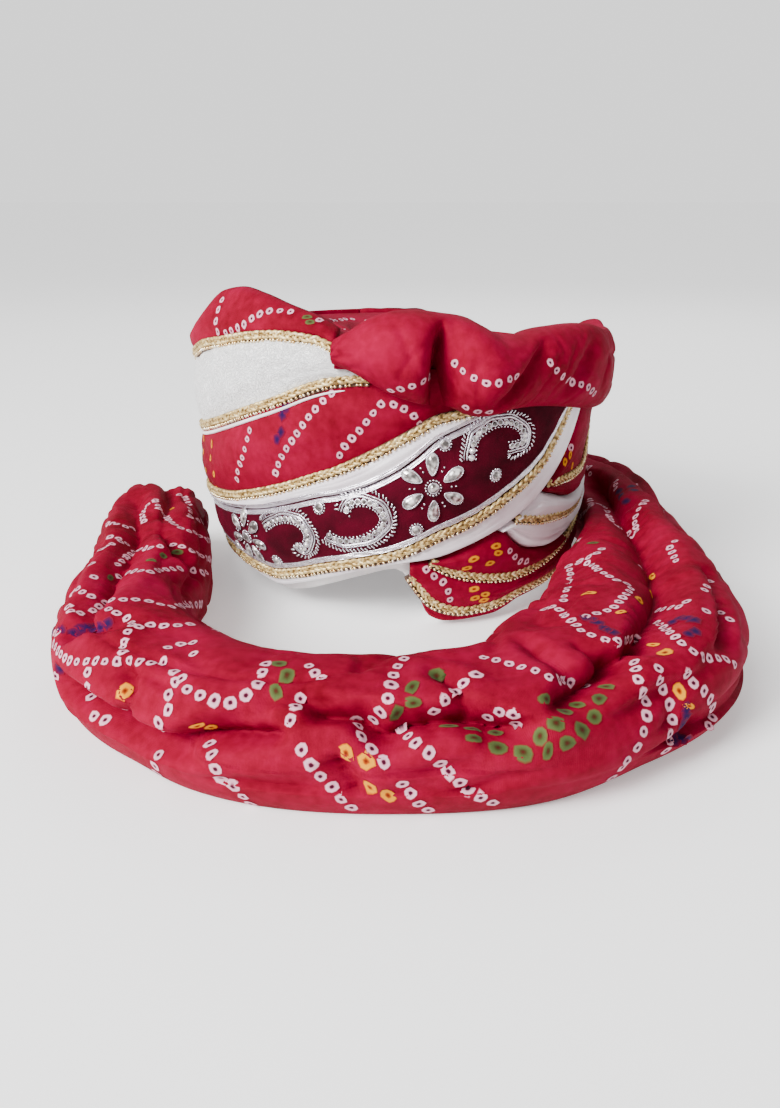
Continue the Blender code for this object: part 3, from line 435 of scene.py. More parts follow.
def add_piece(name, points, faces, finishes, replaced=(), face_finish=None, maps=None, dyes=None):
    """A mesh object from arrays, riding on the turban's one body. Faces that look inwards are turned round."""
    mesh = bpy.data.meshes.new(name)
    mesh.from_pydata(points.reshape(-1, 3).tolist(), [], [tuple(f) for f in faces])
    if inside_out(mesh):
        mesh.flip_normals()
        print(name, "turned outwards")
    mesh.shade_smooth()
    for finish in finishes:
        mesh.materials.append(finish.material)
    if face_finish is not None:
        mesh.polygons.foreach_set("material_index", np.asarray(face_finish, np.int32))
    if maps is not None:
        corner = np.empty(len(mesh.loops), np.int32)
        mesh.loops.foreach_get("vertex_index", corner)
        mesh.uv_layers.new(name="cloth").data.foreach_set("uv", maps.reshape(-1, 2)[corner].astype(np.float32).ravel())
    if dyes is not None:
        mesh.attributes.new("dye", "FLOAT_COLOR", "POINT").data.foreach_set("color", dyes.astype(np.float32).ravel())
    made = bpy.data.objects.new(name, mesh)
    bpy.context.scene.collection.objects.link(made)
    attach(made, "root")
    if replaced:
        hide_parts(*replaced)
    made_pieces[name] = made
    return made


def add_cloth(name, points, finish, replaced=(), round_rows=False):
    """A grid of points, round in its columns, as one closed cloth. Its ends are capped unless it is a ring."""
    rows, columns = points.shape[:2]
    faces = grid_faces(rows, columns, round_rows, True).tolist()
    if not round_rows:
        faces += [range(columns), reversed(range((rows - 1) * columns, rows * columns))]
    along = np.concatenate(([0], np.cumsum(np.linalg.norm(np.diff(points[:, columns // 3], axis=0), axis=1))))
    across = np.cumsum(np.linalg.norm(points[rows // 2] - np.roll(points[rows // 2], 1, axis=0), axis=1))
    maps = np.stack(np.meshgrid(along, across, indexing="ij"), axis=-1)
    made = add_piece(name, points, faces, [finish], replaced, maps=maps)
    print(name, len(made.data.polygons), "faces")
    return made


def cloth_tree(piece):
    """A search tree for finding points on a piece's surface."""
    corners = [v.co for v in piece.data.vertices]
    return BVHTree.FromPolygons(corners, [tuple(p.vertices) for p in piece.data.polygons])


# %% [markdown]
# ## Seams of the wraps
#
# The left wraps rise to the right across the front and cross over the right lappet. Their seams come from one
# table, and the lappet's from another. The lappet's seams are cut off below the rim that crosses over them.

# %% Seam tables
LEFT_COLUMNS = ("angle", "rim", "low_trim", "velvet_top", "red_trim", "white_trim", "crown_trim", "crown_top")
LEFT_SEAMS = np.array((
    (-180, 0.010, 0.056, 0.262, 0.305, 0.570, 0.830, 1.000),
    (-150, 0.010, 0.056, 0.258, 0.300, 0.560, 0.820, 1.000),
    (-120, 0.030, 0.078, 0.276, 0.318, 0.570, 0.830, 1.005),
    (-90, 0.080, 0.126, 0.320, 0.364, 0.610, 0.890, 1.030),
    (-70, 0.112, 0.158, 0.350, 0.396, 0.660, 0.960, 1.135),
    (-60, 0.116, 0.162, 0.368, 0.415, 0.697, 1.002, 1.205),
    (-50, 0.106, 0.152, 0.392, 0.442, 0.744, 1.030, 1.220),
    (-40, 0.094, 0.150, 0.422, 0.482, 0.796, 1.058, 1.205),
    (-30, 0.132, 0.182, 0.466, 0.530, 0.850, 1.072, 1.175),
    (-20, 0.182, 0.230, 0.513, 0.586, 0.910, 1.064, 1.140),
    (-15, 0.206, 0.250, 0.530, 0.614, 0.930, 1.040, 1.108),
    (-10, 0.230, 0.269, 0.553, 0.648, 0.940, 1.010, 1.060),
    (0, 0.266, 0.308, 0.624, 0.724, 0.945, 1.000, 1.050),
    (5, 0.276, 0.338, 0.676, 0.764, 0.950, 1.000, 1.050),
    (10, 0.286, 0.374, 0.736, 0.804, 0.950, 1.000, 1.050),
    (20, 0.330, 0.430, 0.800, 0.832, 0.950, 1.000, 1.050),
    (30, 0.388, 0.504, 0.870, 0.900, 0.950, 1.000, 1.050),
    (40, 0.464, 0.596, 0.930, 0.950, 0.980, 1.000, 1.050),
    (45, 0.514, 0.680, 0.950, 0.970, 0.990, 1.000, 1.050),
    (50, 0.576, 0.775, 0.970, 0.985, 0.990, 1.000, 1.050),
    (55, 0.660, 0.880, 0.990, 1.000, 1.010, 1.030, 1.050),
    (60, 0.770, 0.980, 1.010, 1.020, 1.030, 1.040, 1.050),
    (66, 0.920, 1.060, 1.070, 1.080, 1.090, 1.100, 1.110),
))
RIGHT_COLUMNS = ("angle", "hem", "hem_trim", "lappet_trim", "satin_low", "satin_trim", "satin_top", "top_trim")
RIGHT_SEAMS = np.array((
    (3, 0.226, 0.240, 0.330, 0.340, 0.350, 0.360, 0.370),
    (6, 0.150, 0.175, 0.300, 0.340, 0.350, 0.360, 0.370),
    (10, 0.040, 0.106, 0.266, 0.340, 0.350, 0.360, 0.370),
    (15, 0.012, 0.070, 0.228, 0.345, 0.370, 0.400, 0.420),
    (20, 0.008, 0.056, 0.202, 0.360, 0.405, 0.430, 0.450),
    (30, 0.010, 0.062, 0.171, 0.362, 0.402, 0.450, 0.480),
    (35, 0.026, 0.080, 0.165, 0.305, 0.394, 0.475, 0.495),
    (40, 0.046, 0.092, 0.168, 0.262, 0.378, 0.487, 0.500),
    (50, 0.050, 0.096, 0.184, 0.234, 0.356, 0.448, 0.500),
    (60, 0.050, 0.096, 0.214, 0.244, 0.344, 0.404, 0.495),
    (66, 0.050, 0.096, 0.236, 0.262, 0.344, 0.398, 0.497),
    (72, 0.050, 0.096, 0.256, 0.282, 0.352, 0.402, 0.515),
    (78, 0.048, 0.094, 0.280, 0.306, 0.366, 0.425, 0.600),
    (84, 0.046, 0.092, 0.302, 0.328, 0.384, 0.470, 0.715),
    (90, 0.042, 0.088, 0.322, 0.348, 0.406, 0.525, 0.815),
    (100, 0.034, 0.080, 0.356, 0.382, 0.450, 0.610, 0.905),
    (120, 0.012, 0.058, 0.416, 0.442, 0.540, 0.730, 0.945),
    (150, 0.010, 0.056, 0.462, 0.488, 0.600, 0.800, 0.950),
    (180, 0.010, 0.056, 0.475, 0.501, 0.612, 0.815, 0.950),
))
BACK_EDGE = 180.0 - 12.4  # where the wraps end, at the tail's root
RIM_END = 66  # where the crossing rim reaches the crown
HIGHEST_SEAM = WALL_HEIGHT - 0.0006


def left_seam(name):
    """The height of a left seam, as a function of the angle."""
    column = LEFT_COLUMNS.index(name)
    return lambda angle: WALL_HEIGHT * reading(LEFT_SEAMS, column, angle)


def under_crossing(seam):
    """A lappet seam, cut off below the rim of the wraps that cross over it."""
    rim = left_seam("rim")

    def height_at(angle):
        angle = np.asarray(angle, float)
        past = np.maximum(0, angle - RIM_END)
        return np.minimum(seam(angle), rim(np.minimum(angle, RIM_END)) + past * WALL_HEIGHT - 0.001)

    return height_at


def right_seam(name):
    """The height of a lappet seam, as a function of the angle."""
    column = RIGHT_COLUMNS.index(name)
    return under_crossing(lambda angle: WALL_HEIGHT * reading(RIGHT_SEAMS, column, angle))


def under_crest(seam):
    """A left seam, held below the top of the wall where the crest covers it."""
    return lambda angle: np.where(np.asarray(angle) > -8, np.minimum(seam(angle), HIGHEST_SEAM), seam(angle))


print("seams", LEFT_COLUMNS[1:] + RIGHT_COLUMNS[1:])

# %% [markdown]
# ## The wraps
#
# One wrap is a folded length of cloth seen between two seams. Its section is flat on the wall behind and swells
# in front, and both long edges turn back in a small round fold. Long soft wrinkles run with the cloth.
# A grid with more rows near the folds gives round edges without wasting faces on the flat.


# %% Lay a wrap between two seams
WRAP_FOLD, LOWEST_WRAP, WRAP_BACK = 0.0022, 0.0012, 0.0003
FOLD_ROWS = np.array((0, 0.06, 0.22, 0.50, 1.0))
DEGREE_ROUND = 0.0023  # metres round the front of the turban in one degree


def lay_wrap(name, low, high, finish, first, last, lifted=False, belly=WRAP_BELLY, wrinkle=0.0006, dent=None,
             seed=1):
    """A wrap between two seams from one angle to another, wherever it is tall enough. A dent is a soft hollow,
    given as its angle, height, depth and radius."""
    angles = np.arange(first, last + 0.01, 1.0 if last - first > 60 else 0.5)
    tall = high(angles) - low(angles) > LOWEST_WRAP
    angles = angles[np.argmax(tall):len(angles) - np.argmax(tall[::-1])]
    bottom, top = low(angles)[:, None], high(angles)[:, None]
    width = np.maximum(top - bottom, 0.0004)
    turn_in = np.minimum(WRAP_FOLD, width / 3)
    near = turn_in * FOLD_ROWS
    middle = turn_in + (width - 2 * turn_in) * np.linspace(0, 1, 18)[1:-1]
    across = np.concatenate((near, middle, (width - near)[:, ::-1]), axis=1)
    share = across / width
    rounded = np.sqrt(1 - (1 - np.clip(np.minimum(across, width - across) / turn_in, 0, 1)) ** 2)
    lift = crossing_lift(angles)[:, None] if lifted else 0.0
    soft = (hills(angles[:, None] / 16, share * 3.1, seed) + 0.4 * hills(angles[:, None] / 5, share * 7.3, seed + 1)
            - 0.9 * creases(angles[:, None] / 30 + share, share * 4.2, seed + 2, 0.14))
    out = lift + 0.0004 + (WRAP_EDGE + belly * (1 - (2 * share - 1) ** 2) + wrinkle * soft) * rounded
    if dent:
        at_angle, at_height, depth, radius = dent
        away = np.hypot((angles[:, None] - at_angle) * DEGREE_ROUND, bottom + across - at_height) / radius
        out = out - depth * np.exp(-away ** 2) * rounded
    front = on_wall(angles[:, None], bottom + across, out)
    back = on_wall(angles[:, None], bottom + width * np.array((0.96, 0.5, 0.04)), WRAP_BACK)
    return add_cloth(name, np.concatenate((front, back), axis=1), finish, (name,))


rim, velvet_top, crown_top = left_seam("rim"), under_crest(left_seam("velvet_top")), left_seam("crown_top")
low_line, red_line = under_crest(left_seam("low_trim")), under_crest(left_seam("red_trim"))
white_line, crown_line = left_seam("white_trim"), left_seam("crown_trim")

# %% Lay the wraps that cross the front
lay_wrap("satin_rim", rim, low_line, SATIN, -BACK_EDGE, 66, lifted=True, belly=0.001, wrinkle=0.0003)
lay_wrap("velvet_band", low_line, velvet_top, VELVET, -BACK_EDGE, 60, lifted=True, wrinkle=0.0004,
         seed=5)
lay_wrap("satin_fold", lambda a: velvet_top(a) - 0.0005, red_line, SATIN, -BACK_EDGE, 34, lifted=True,
         belly=0.002, wrinkle=0.0004, seed=9)
lay_wrap("red_wrap", red_line, white_line, RED, -BACK_EDGE, 26, seed=13, wrinkle=0.0007)
lay_wrap("brocade_wrap", white_line, crown_line, BROCADE, -BACK_EDGE, -8, seed=17, wrinkle=0.0009)
lay_wrap("crown_wrap", crown_line, crown_top, RED, -BACK_EDGE, -14.5, seed=21, wrinkle=0.0007)

# %% Lay the lappet's wraps
hem, hem_line, lappet_line = (right_seam(n) for n in ("hem", "hem_trim", "lappet_trim"))
satin_line, satin_top = (right_seam(n) for n in ("satin_trim", "satin_top"))
sagging_top = right_seam("top_trim")


def top_line(angle):
    """The seam over the tucked wrap, which sags with the rim."""
    return sagging_top(angle) - rim_dip(angle)


def crossing(angle):
    """The top of the upper wrap, at the rim or under the wraps that cross it."""
    return under_crossing(lambda a: np.full(np.shape(a), HIGHEST_SEAM))(angle) - rim_dip(angle)


def satin_foot(angle):
    """The lower seam of the satin wraps, which never runs into the lappet's."""
    return np.maximum(right_seam("satin_low")(angle), lappet_line(angle) + 0.0006)


lay_wrap("hem_wrap", hem, hem_line, RED, 4, 150, belly=0.0, wrinkle=0.0002, seed=25)
lay_wrap("lappet_wrap", hem_line, lappet_line, RED, 4, BACK_EDGE, seed=29)
lay_wrap("spotted_wrap", lappet_line, satin_foot, RED, 6, 60, seed=33)
lay_wrap("satin_under", satin_foot, satin_line, SATIN, 20, BACK_EDGE, seed=37, wrinkle=0.0008)
lay_wrap("satin_over", satin_line, satin_top, SATIN, 24, BACK_EDGE, seed=41, wrinkle=0.0008,
         dent=(38.5, 0.066, 0.0035, 0.006))
lay_wrap("tucked_wrap", satin_top, top_line, RED, 30, BACK_EDGE, seed=45)
lay_wrap("upper_wrap", top_line, crossing, RED, 40, BACK_EDGE, seed=49)

# %% [markdown]
# ## The hidden body
#
# Inside, the turban is many turns of plain cotton, wound round and round. Its hollow shows each turn as a low
# ridge. One closed ring makes it: a ridged inner face, a flat foot to stand on and a plain outer face.

# %% The wound body
FOOT_SHARE = np.array((
    (-180, 0), (-140, 0), (-120, 0.010), (-90, 0.055), (-60, 0.095), (-50, 0.085), (-40, 0.070), (-30, 0.100),
    (-20, 0.150), (-10, 0.200), (0, 0.235), (3, 0.210), (6, 0.140), (10, 0.045), (15, 0.010), (20, 0), (26, 0),
    (36, 0.025), (50, 0.040), (70, 0.040), (90, 0.030), (120, 0), (180, 0),
))
TURN_HEIGHT, TURN_DEPTH = 0.011, 0.0016
UNDER_COVER = 0.0022  # so that the wound body doesn't show through the crown's cloth
angles = np.arange(-180, 180, 2.0)[:, None]
foot = WALL_HEIGHT * reading(FOOT_SHARE, 1, angles)
wall_top = WALL_HEIGHT - WALL_TOP_DROP - UNDER_COVER - rim_dip(angles)
rise = np.linspace(0, 1, 90)[None, :]
inner_height = foot + (wall_top - foot) * rise
turns = 0.5 + 0.5 * np.cos(2 * np.pi * (inner_height / TURN_HEIGHT + angles / 360 + 0.3 * hills(angles / 24, 0, 61)))
hollow = TURN_DEPTH * (1 - turns) ** 1.5 + 0.0008 * (1 + hills(angles / 9, inner_height / 0.008, 62))
inner = np.stack((TURBAN_X + (HEAD_WIDTH / 2 + hollow) * np.sin(np.radians(angles)),
                  TURBAN_Y - (HEAD_LENGTH / 2 + hollow) * np.cos(np.radians(angles)), inner_height), axis=-1)
outer = on_wall(angles, foot + (wall_top - foot) * np.linspace(1, 0, 12)[None, :], -0.0008)
under = inner[:, :1] * 0.5 + outer[:, -1:] * 0.5
add_cloth("wound_wall", np.concatenate((inner, outer, under), axis=1)[:, ::-1], BASE,
          ("wound_wall",), round_rows=True)

# %% [markdown]
# ## Cloth over the crown
#
# The top is closed by a red cloth that is gathered towards the middle and stands up in a soft puff behind the
# crown wrap. Rings of points from the middle to the edge and back below make one closed shell.

# %% The crown's cloth
COVER_PUFF_ROUND = np.array(((-180, 0.0), (-150, 0.12), (-120, 0.34), (-90, 0.62), (-60, 0.94), (-45, 1.0),
                             (-32, 0.74), (-22, 0.26), (-15, 0.0), (180, 0.0)))
COVER_PUFF_IN = np.array(((0.0, 0.0), (0.22, 0.22), (0.44, 0.58), (0.66, 0.92), (0.86, 0.80), (0.99, 0.0)))
COVER_MIDDLE, COVER_EDGE, COVER_PUFF = 0.0008, 0.99, 0.024
COVER_ABOVE, COVER_DISH, COVER_THICK, GATHER_DEPTH = 0.0033, 0.003, 0.003, 0.0022
TOP_ROWS, UNDER_ROWS = 60, 20
angles = np.arange(-180, 180, 2.0)[:, None]
share = np.concatenate((np.linspace(COVER_EDGE, COVER_MIDDLE, TOP_ROWS),
                        np.linspace(COVER_MIDDLE, COVER_EDGE, UNDER_ROWS)))[None, :]
top_side = np.arange(share.size)[None, :] < TOP_ROWS
puff = COVER_PUFF * reading(COVER_PUFF_ROUND, 1, angles) * reading(COVER_PUFF_IN, 1, share)
gathers = (-creases(angles / 15 + 5 * share, share * 2.0, 71, 0.20) * GATHER_DEPTH
           * np.minimum(1, share * 2.5) * np.minimum(1, (1 - share) * 3.2))
waves = 0.004 * share * (COVER_EDGE - share) * np.cos(np.radians(angles * 6 + 40))
height = (WALL_HEIGHT - WALL_TOP_DROP + COVER_ABOVE - COVER_DISH * (1 - share ** 2) - rim_dip(angles) * share ** 1.5
          + puff + waves + np.where(top_side, gathers, -COVER_THICK))
axes = HEAD_WIDTH / 2 + WALL_THICKNESS + WALL_FLARE, HEAD_LENGTH / 2 + WALL_THICKNESS + WALL_FLARE
cover = np.stack((TURBAN_X + axes[0] * share * np.sin(np.radians(angles)),
                  TURBAN_Y - axes[1] * share * np.cos(np.radians(angles)), height), axis=-1)
crown_cover = add_piece("crown_cover", cover, grid_faces(*cover.shape[:2], True, False), [RED],
                        ("crown_cover",), maps=cover[..., :2])
print("crown_cover", len(crown_cover.data.polygons))

# %% [markdown]
# ## The crest
#
# A length of the red cloth is puffed out over the rim in three lobes, pinched by one deep pleat.
# The section is round in front, where it hangs over the wraps, and flatter behind, where it lies over the crown.
# A table gives its reach and its lower edge at each angle, and the pleat draws the front in.

# %% The puffed crest
# Columns: angle, height, overhang, depth, pleat, lower edge as a share of the wall
CREST_LOBES = np.array((
    (-14, 0.42, 0.26, 0.34, 0.00, 1.000),
    (-10, 0.62, 0.40, 0.55, 0.00, 0.978),
    (-5, 0.86, 0.66, 0.78, 0.00, 0.936),
    (0, 0.96, 0.86, 0.90, 0.00, 0.896),
    (4, 0.97, 0.92, 0.92, 0.08, 0.876),
    (8, 0.93, 0.86, 0.92, 0.36, 0.862),
    (10, 0.90, 0.74, 0.92, 0.80, 0.860),
    (11.5, 0.88, 0.66, 0.92, 1.00, 0.858),
    (13, 0.86, 0.80, 0.88, 0.75, 0.850),
    (16, 0.80, 1.00, 0.76, 0.20, 0.828),
    (19, 0.68, 1.08, 0.58, 0.00, 0.820),
    (23, 0.52, 1.02, 0.42, 0.00, 0.824),
    (28, 0.50, 0.84, 0.40, 0.15, 0.834),
    (33, 0.54, 0.66, 0.55, 0.25, 0.832),
    (40, 0.56, 0.58, 0.72, 0.10, 0.820),
    (48, 0.54, 0.56, 0.80, 0.00, 0.798),
    (56, 0.50, 0.54, 0.80, 0.00, 0.772),
    (64, 0.46, 0.40, 0.76, 0.00, 0.754),
    (72, 0.42, 0.34, 0.68, 0.00, 0.742),
    (80, 0.38, 0.28, 0.58, 0.00, 0.740),
    (88, 0.33, 0.26, 0.46, 0.00, 0.775),
    (95, 0.40, 0.26, 0.34, 0.00, 0.930),
))
CREST_HEIGHT, CREST_OVERHANG, CREST_DEPTH, CREST_PLEAT = 0.028, 0.026, 0.042, 0.90
PLEAT_DEPTH, PLEAT_LIPS, SECOND_FOLD, THIRD_FOLD, PULL_DEPTH = 0.0165, 0.0022, 0.0095, 0.0055, 0.0011
angles = np.concatenate((np.arange(-14, 8, 0.5), np.arange(8, 16, 0.25), np.arange(16, 95.1, 0.5)))[:, None]
top, overhang, depth, low_edge = (reading(CREST_LOBES, c, angles) for c in (1, 2, 3, 5))
pleat = reading(CREST_LOBES, 4, angles + 2.5)
top = top - 0.20 * smooth((angles - 50) / 22)
inside = WRAP_EDGE + WRAP_BELLY + CROSSING_LIFT + 0.0006
seat = WALL_HEIGHT - 0.0024
low, high = low_edge * WALL_HEIGHT, WALL_HEIGHT + CREST_HEIGHT * top
middle = (low + high) / 2
front_turn = np.radians(np.linspace(-82, 88, 46))[None, :]
back_turn = np.radians(np.linspace(94, 166, 14))[None, :]
c, s = np.cos(front_turn), np.sin(front_turn)
drawn = 1 - CREST_PLEAT * pleat * (0.5 - 0.5 * s)
pulls = (1.2 * creases(angles / 9 + 0.5 * s, s * 1.6 + 4, 83, 0.18)
         + 0.8 * creases(angles / 4.5 - 1.2 * s, s * 0.9, 84, 0.14) - 0.7 * hills(angles / 6, s * 1.5, 85))
deep_pleat = PLEAT_DEPTH * np.exp(-np.abs((angles - 8.2 - 1.6 * s ** 2) / 1.35) ** 1.5) * smooth((1.02 - s) / 0.6)
pleat_lips = (PLEAT_LIPS * (np.exp(-((angles - 4.6) / 1.9) ** 2) + np.exp(-((angles - 12.6) / 1.9) ** 2))
              * smooth((0.9 - s) / 1.2))
second_fold = SECOND_FOLD * np.exp(-np.abs((angles - 26 - 8.5 * s) / 2.3) ** 1.5) * smooth((0.95 - np.abs(s)) / 0.5)
third_fold = THIRD_FOLD * np.exp(-((angles - 45 - 7 * s) / 2.8) ** 2) * smooth((0.95 - np.abs(s)) / 0.6)
reach = (CREST_OVERHANG * overhang * drawn * c
         - (PULL_DEPTH * pulls + second_fold + third_fold) * c * (1 - 0.75 * pleat)
         - (deep_pleat - pleat_lips) * np.sqrt(c))
level = middle + (high - middle) * s
front = on_wall(angles, level - 0.0012 * pleat * (1 - s ** 2), inside + reach - lean(level))
c, s = np.cos(back_turn), np.sin(back_turn)
back_height = seat + (high - seat) * s
back = on_wall(angles, back_height + 0.0006 * hills(angles / 7, s * 4, 86),
               inside + CREST_DEPTH * depth * c - lean(back_height))
bottom = [on_wall(angles, seat, inside - CREST_DEPTH * depth - lean(seat)), on_wall(angles, seat, inside - lean(seat)),
          on_wall(angles, low + 0.0003, inside)]
crest = add_cloth("crest", np.concatenate((front, back, *bottom), axis=1)[::-1, ::-1], RED,
                  ("crest",))

# %% [markdown]
# ## The tail
#
# The tail is metres of thin cloth, gathered into a soft roll. Such a roll has a few long folds that run with it,
# shorter creases that branch off them, and fine wrinkles over all. The route, width and height come from a
# table. The folds come from a second table, and the wrinkles from wandering valleys of random hills.
# The roll is flat below, where it lies on the floor.

# %% The tail's route
# Columns: angle, distance out from the turban, width and height, the last three as shares
TAIL_ROUTE = np.array((
    (196, 0.02, 0.62, 0.52),
    (180, 0.03, 0.68, 0.62),
    (163, 0.07, 0.74, 0.78),
    (143, 0.07, 0.78, 0.90),
    (119, 0.03, 0.76, 0.98),
    (94, 0.005, 0.80, 1.04),
    (75, 0.005, 0.86, 1.06),
    (58, 0.03, 1.06, 1.06),
    (46, 0.08, 1.42, 1.06),
    (37, 0.20, 1.54, 1.06),
    (31, 0.34, 1.65, 1.06),
    (25, 0.48, 1.65, 1.06),
    (18, 0.64, 1.50, 1.04),
    (10, 0.89, 1.20, 1.02),
    (0, 1.00, 1.00, 1.00),
    (-9, 1.00, 1.00, 0.98),
    (-15, 0.95, 1.03, 0.98),
    (-20, 0.86, 1.06, 0.98),
    (-26, 0.75, 1.12, 1.00),
    (-32, 0.63, 1.06, 1.02),
    (-38, 0.46, 1.04, 1.02),
    (-49, 0.17, 1.04, 1.02),
    (-65, 0.005, 1.06, 1.00),
    (-85, 0.005, 0.98, 0.96),
    (-100, 0.02, 1.00, 0.92),
))
TAIL_WIDTH, TAIL_HEIGHT, TAIL_REACH, TAIL_GAP = 0.066, 0.053, 0.115, 0.0012


def tail_line(t):
    """Middle of the tail on the floor, its width and its height."""
    angle, reach, width, height = (spline(TAIL_ROUTE, c, t) for c in range(4))
    width, height = width * TAIL_WIDTH, height * TAIL_HEIGHT
    turn = np.radians(angle)
    out = WALL_THICKNESS + WRAP_EDGE + WRAP_BELLY
    edge = 1 / np.hypot(np.sin(turn) / (HEAD_WIDTH / 2 + out), np.cos(turn) / (HEAD_LENGTH / 2 + out))
    far = edge + TAIL_GAP + width / 2 + reach * TAIL_REACH
    return np.stack((TURBAN_X + np.sin(turn) * far, TURBAN_Y - np.cos(turn) * far, 0 * far), axis=-1), width, height


fine = np.linspace(0, len(TAIL_ROUTE) - 1, 4000)
walked = np.concatenate(([0], np.cumsum(np.linalg.norm(np.diff(tail_line(fine)[0], axis=0), axis=1))))
TAIL_LENGTH = walked[-1]
print("tail length", round(TAIL_LENGTH, 3), "m")

# %% The tail's plain roll
ROLL_MIDDLE, FLATTEST, FULLEST = 0.46, 0.36, 1.05
START_TAPER, END_TAPER = 0.28, 0.030
rows, around = 560, 128
along = np.linspace(0, 1, rows)
t = np.interp(along * TAIL_LENGTH, walked, fine)
middle, width, height = tail_line(t)
heading = unit(np.gradient(middle, axis=0))
inward = np.stack((heading[:, 1], -heading[:, 0], 0 * heading[:, 0]), axis=-1)
turn = np.arange(around) * 360.0 / around
c, s = np.cos(np.radians(turn))[None, :], np.sin(np.radians(turn))[None, :]
at_start = 0.90 + along * TAIL_LENGTH / START_TAPER
at_end = 0.42 + 0.58 * np.sqrt(np.clip((1 - along) * TAIL_LENGTH / END_TAPER, 0, 1))
ends = np.minimum(1, np.minimum(at_start, at_end))[:, None]


def rolled(full):
    """Points of the tail, pressed in or swelled by this factor at each point."""
    full = np.clip(full, FLATTEST, FULLEST) * ends
    across = -width[:, None] / 2 * np.sign(c) * np.abs(c) ** 0.85 * np.where(s > -0.3, full, ends)
    upper = ROLL_MIDDLE + (1 - ROLL_MIDDLE) * np.abs(s) ** 0.9 * full
    lower = ROLL_MIDDLE * (1 - np.minimum(1, -s * 1.35)) + 0.02 * (1 + s) * (full - ends)
    up = np.where(s > 0, upper, lower)
    points = middle[:, None] + inward[:, None] * across[..., None]
    points[..., 2] = np.maximum(0.0, height[:, None] * ends * up)
    return points


plain_roll = rolled(np.ones((rows, around)))
plain_tree = BVHTree.FromPolygons([Vector(p) for p in plain_roll.reshape(-1, 3)],
                                  grid_faces(rows, around, False, True).tolist())

# %% [markdown]
# The folds in view are charted in the picture like the seams. Each line is dropped through the camera onto the
# plain roll, which gives its place along and round the roll. A fold is a narrow valley with a low lip on each side.

# %% The tail's folds
# Columns: depth as a share of the roll, half width in millimetres, points in the picture
FOLD_LINES = (
    (0.46, 5.5, ((53, 655), (68, 688), (97, 711), (116, 722), (135, 732), (152, 741), (173, 743), (189, 738),
                 (221, 734), (250, 733), (290, 731))),
    (0.22, 8.0, ((205, 722), (230, 713), (260, 706), (285, 698), (312, 688))),
    (0.44, 6.0, ((305, 716), (333, 710), (355, 712), (371, 725), (384, 736), (395, 731), (406, 723), (437, 718),
                 (479, 718), (499, 725), (520, 730))),
    (0.36, 6.5, ((560, 704), (580, 691), (597, 680), (610, 668), (622, 655), (635, 646), (655, 640))),
    (0.22, 5.0, ((575, 648), (592, 652), (608, 655), (622, 655))),
    (0.44, 8.0, ((588, 476), (600, 493), (620, 515), (634, 531), (648, 548), (661, 566), (664, 585), (657, 605),
                 (648, 622), (642, 640))),
    (0.30, 6.0, ((137, 490), (136, 506), (134, 529), (129, 544), (116, 566), (97, 592), (80, 618), (60, 642))),
    (0.20, 4.5, ((58, 637), (80, 627), (100, 624), (128, 620))),
    (0.16, 4.0, ((160, 520), (172, 540), (190, 560), (205, 585))),
    (0.14, 4.0, ((120, 660), (130, 680), (128, 700), (118, 715))),
    (0.16, 4.0, ((330, 745), (338, 765), (350, 785), (352, 803))),
    (0.14, 4.0, ((430, 668), (448, 680), (462, 700), (470, 712))),
    (0.16, 5.0, ((700, 560), (712, 590), (722, 620), (728, 650))),
    (0.16, 4.5, ((520, 640), (540, 652), (560, 668), (580, 676))),
)
# Columns: start and stop as shares of the length, side at each in degrees round the roll, depth
HIDDEN_FOLDS = ((0.03, 0.34, 95, 70, 0.30), (0.10, 0.40, 30, 60, 0.24), (0.05, 0.30, 140, 120, 0.22),
                (0.86, 1.02, 110, 95, 0.26))


def picture_ray(x, y):
    """The direction from the camera through a point of the picture."""
    ahead = (x - PICTURE[0] / 2) / FOCAL_PIXELS, (y - PICTURE[1] / 2) / FOCAL_PIXELS
    down, level = math.sin(CAMERA_DOWN), math.cos(CAMERA_DOWN)
    return Vector((ahead[0], level - ahead[1] * down, -down - ahead[1] * level)).normalized()


def valley(distance, half_width, depth):
    """The depth of a fold at a distance from its line, below zero on its lip."""
    hollow = np.exp(-np.abs(distance / half_width) ** 1.3 * 1.4)
    return depth * (hollow - 0.26 * np.exp(-((distance - 2.0 * half_width) / half_width) ** 2))


u, v = (along * TAIL_LENGTH)[:, None], turn[None, :] / 360.0
girth = np.linalg.norm(np.diff(plain_roll, axis=1), axis=2).sum(axis=1)[:, None]
full = np.ones((rows, around))
for depth, half_width, points in FOLD_LINES:
    route = np.array(points, float)
    steps = np.linspace(0, len(route) - 1, 14 * len(route))
    hits = [plain_tree.ray_cast(CAMERA_AT, picture_ray(x, y))[2]
            for x, y in zip(spline(route, 0, steps), spline(route, 1, steps))]
    at = np.array([(h // around, h % around) for h in hits if h is not None])
    if len(at) < 5:
        continue
    away = np.full(full.shape, 9.0)
    for k, (i, j) in enumerate(at):
        rest = 14.0 * max(0, 1 - min(k, len(at) - 1 - k) / 9) / 1000
        off = (v - v[0, j] + 0.5) % 1 - 0.5
        away = np.minimum(away, np.hypot(np.hypot(u - u[i], off * girth), rest))
    full -= valley(away * 1000, half_width, depth)
for start, stop, from_side, to_side, depth in HIDDEN_FOLDS:
    part = np.clip((along - start) / (stop - start), 0, 1)
    side = from_side + (to_side - from_side) * part + 6 * np.sin(part * 9 + from_side)
    off = ((turn[None, :] - side[:, None] + 180) % 360 - 180) / 360 * girth * 1000
    full -= valley(np.abs(off), 6.0, depth) * np.sqrt(np.sin(np.pi * part))[:, None]
full -= 0.070 * creases(u / 0.075 + 2.2 * v, v * 10 + 5 * u, 91, 0.17, 10)
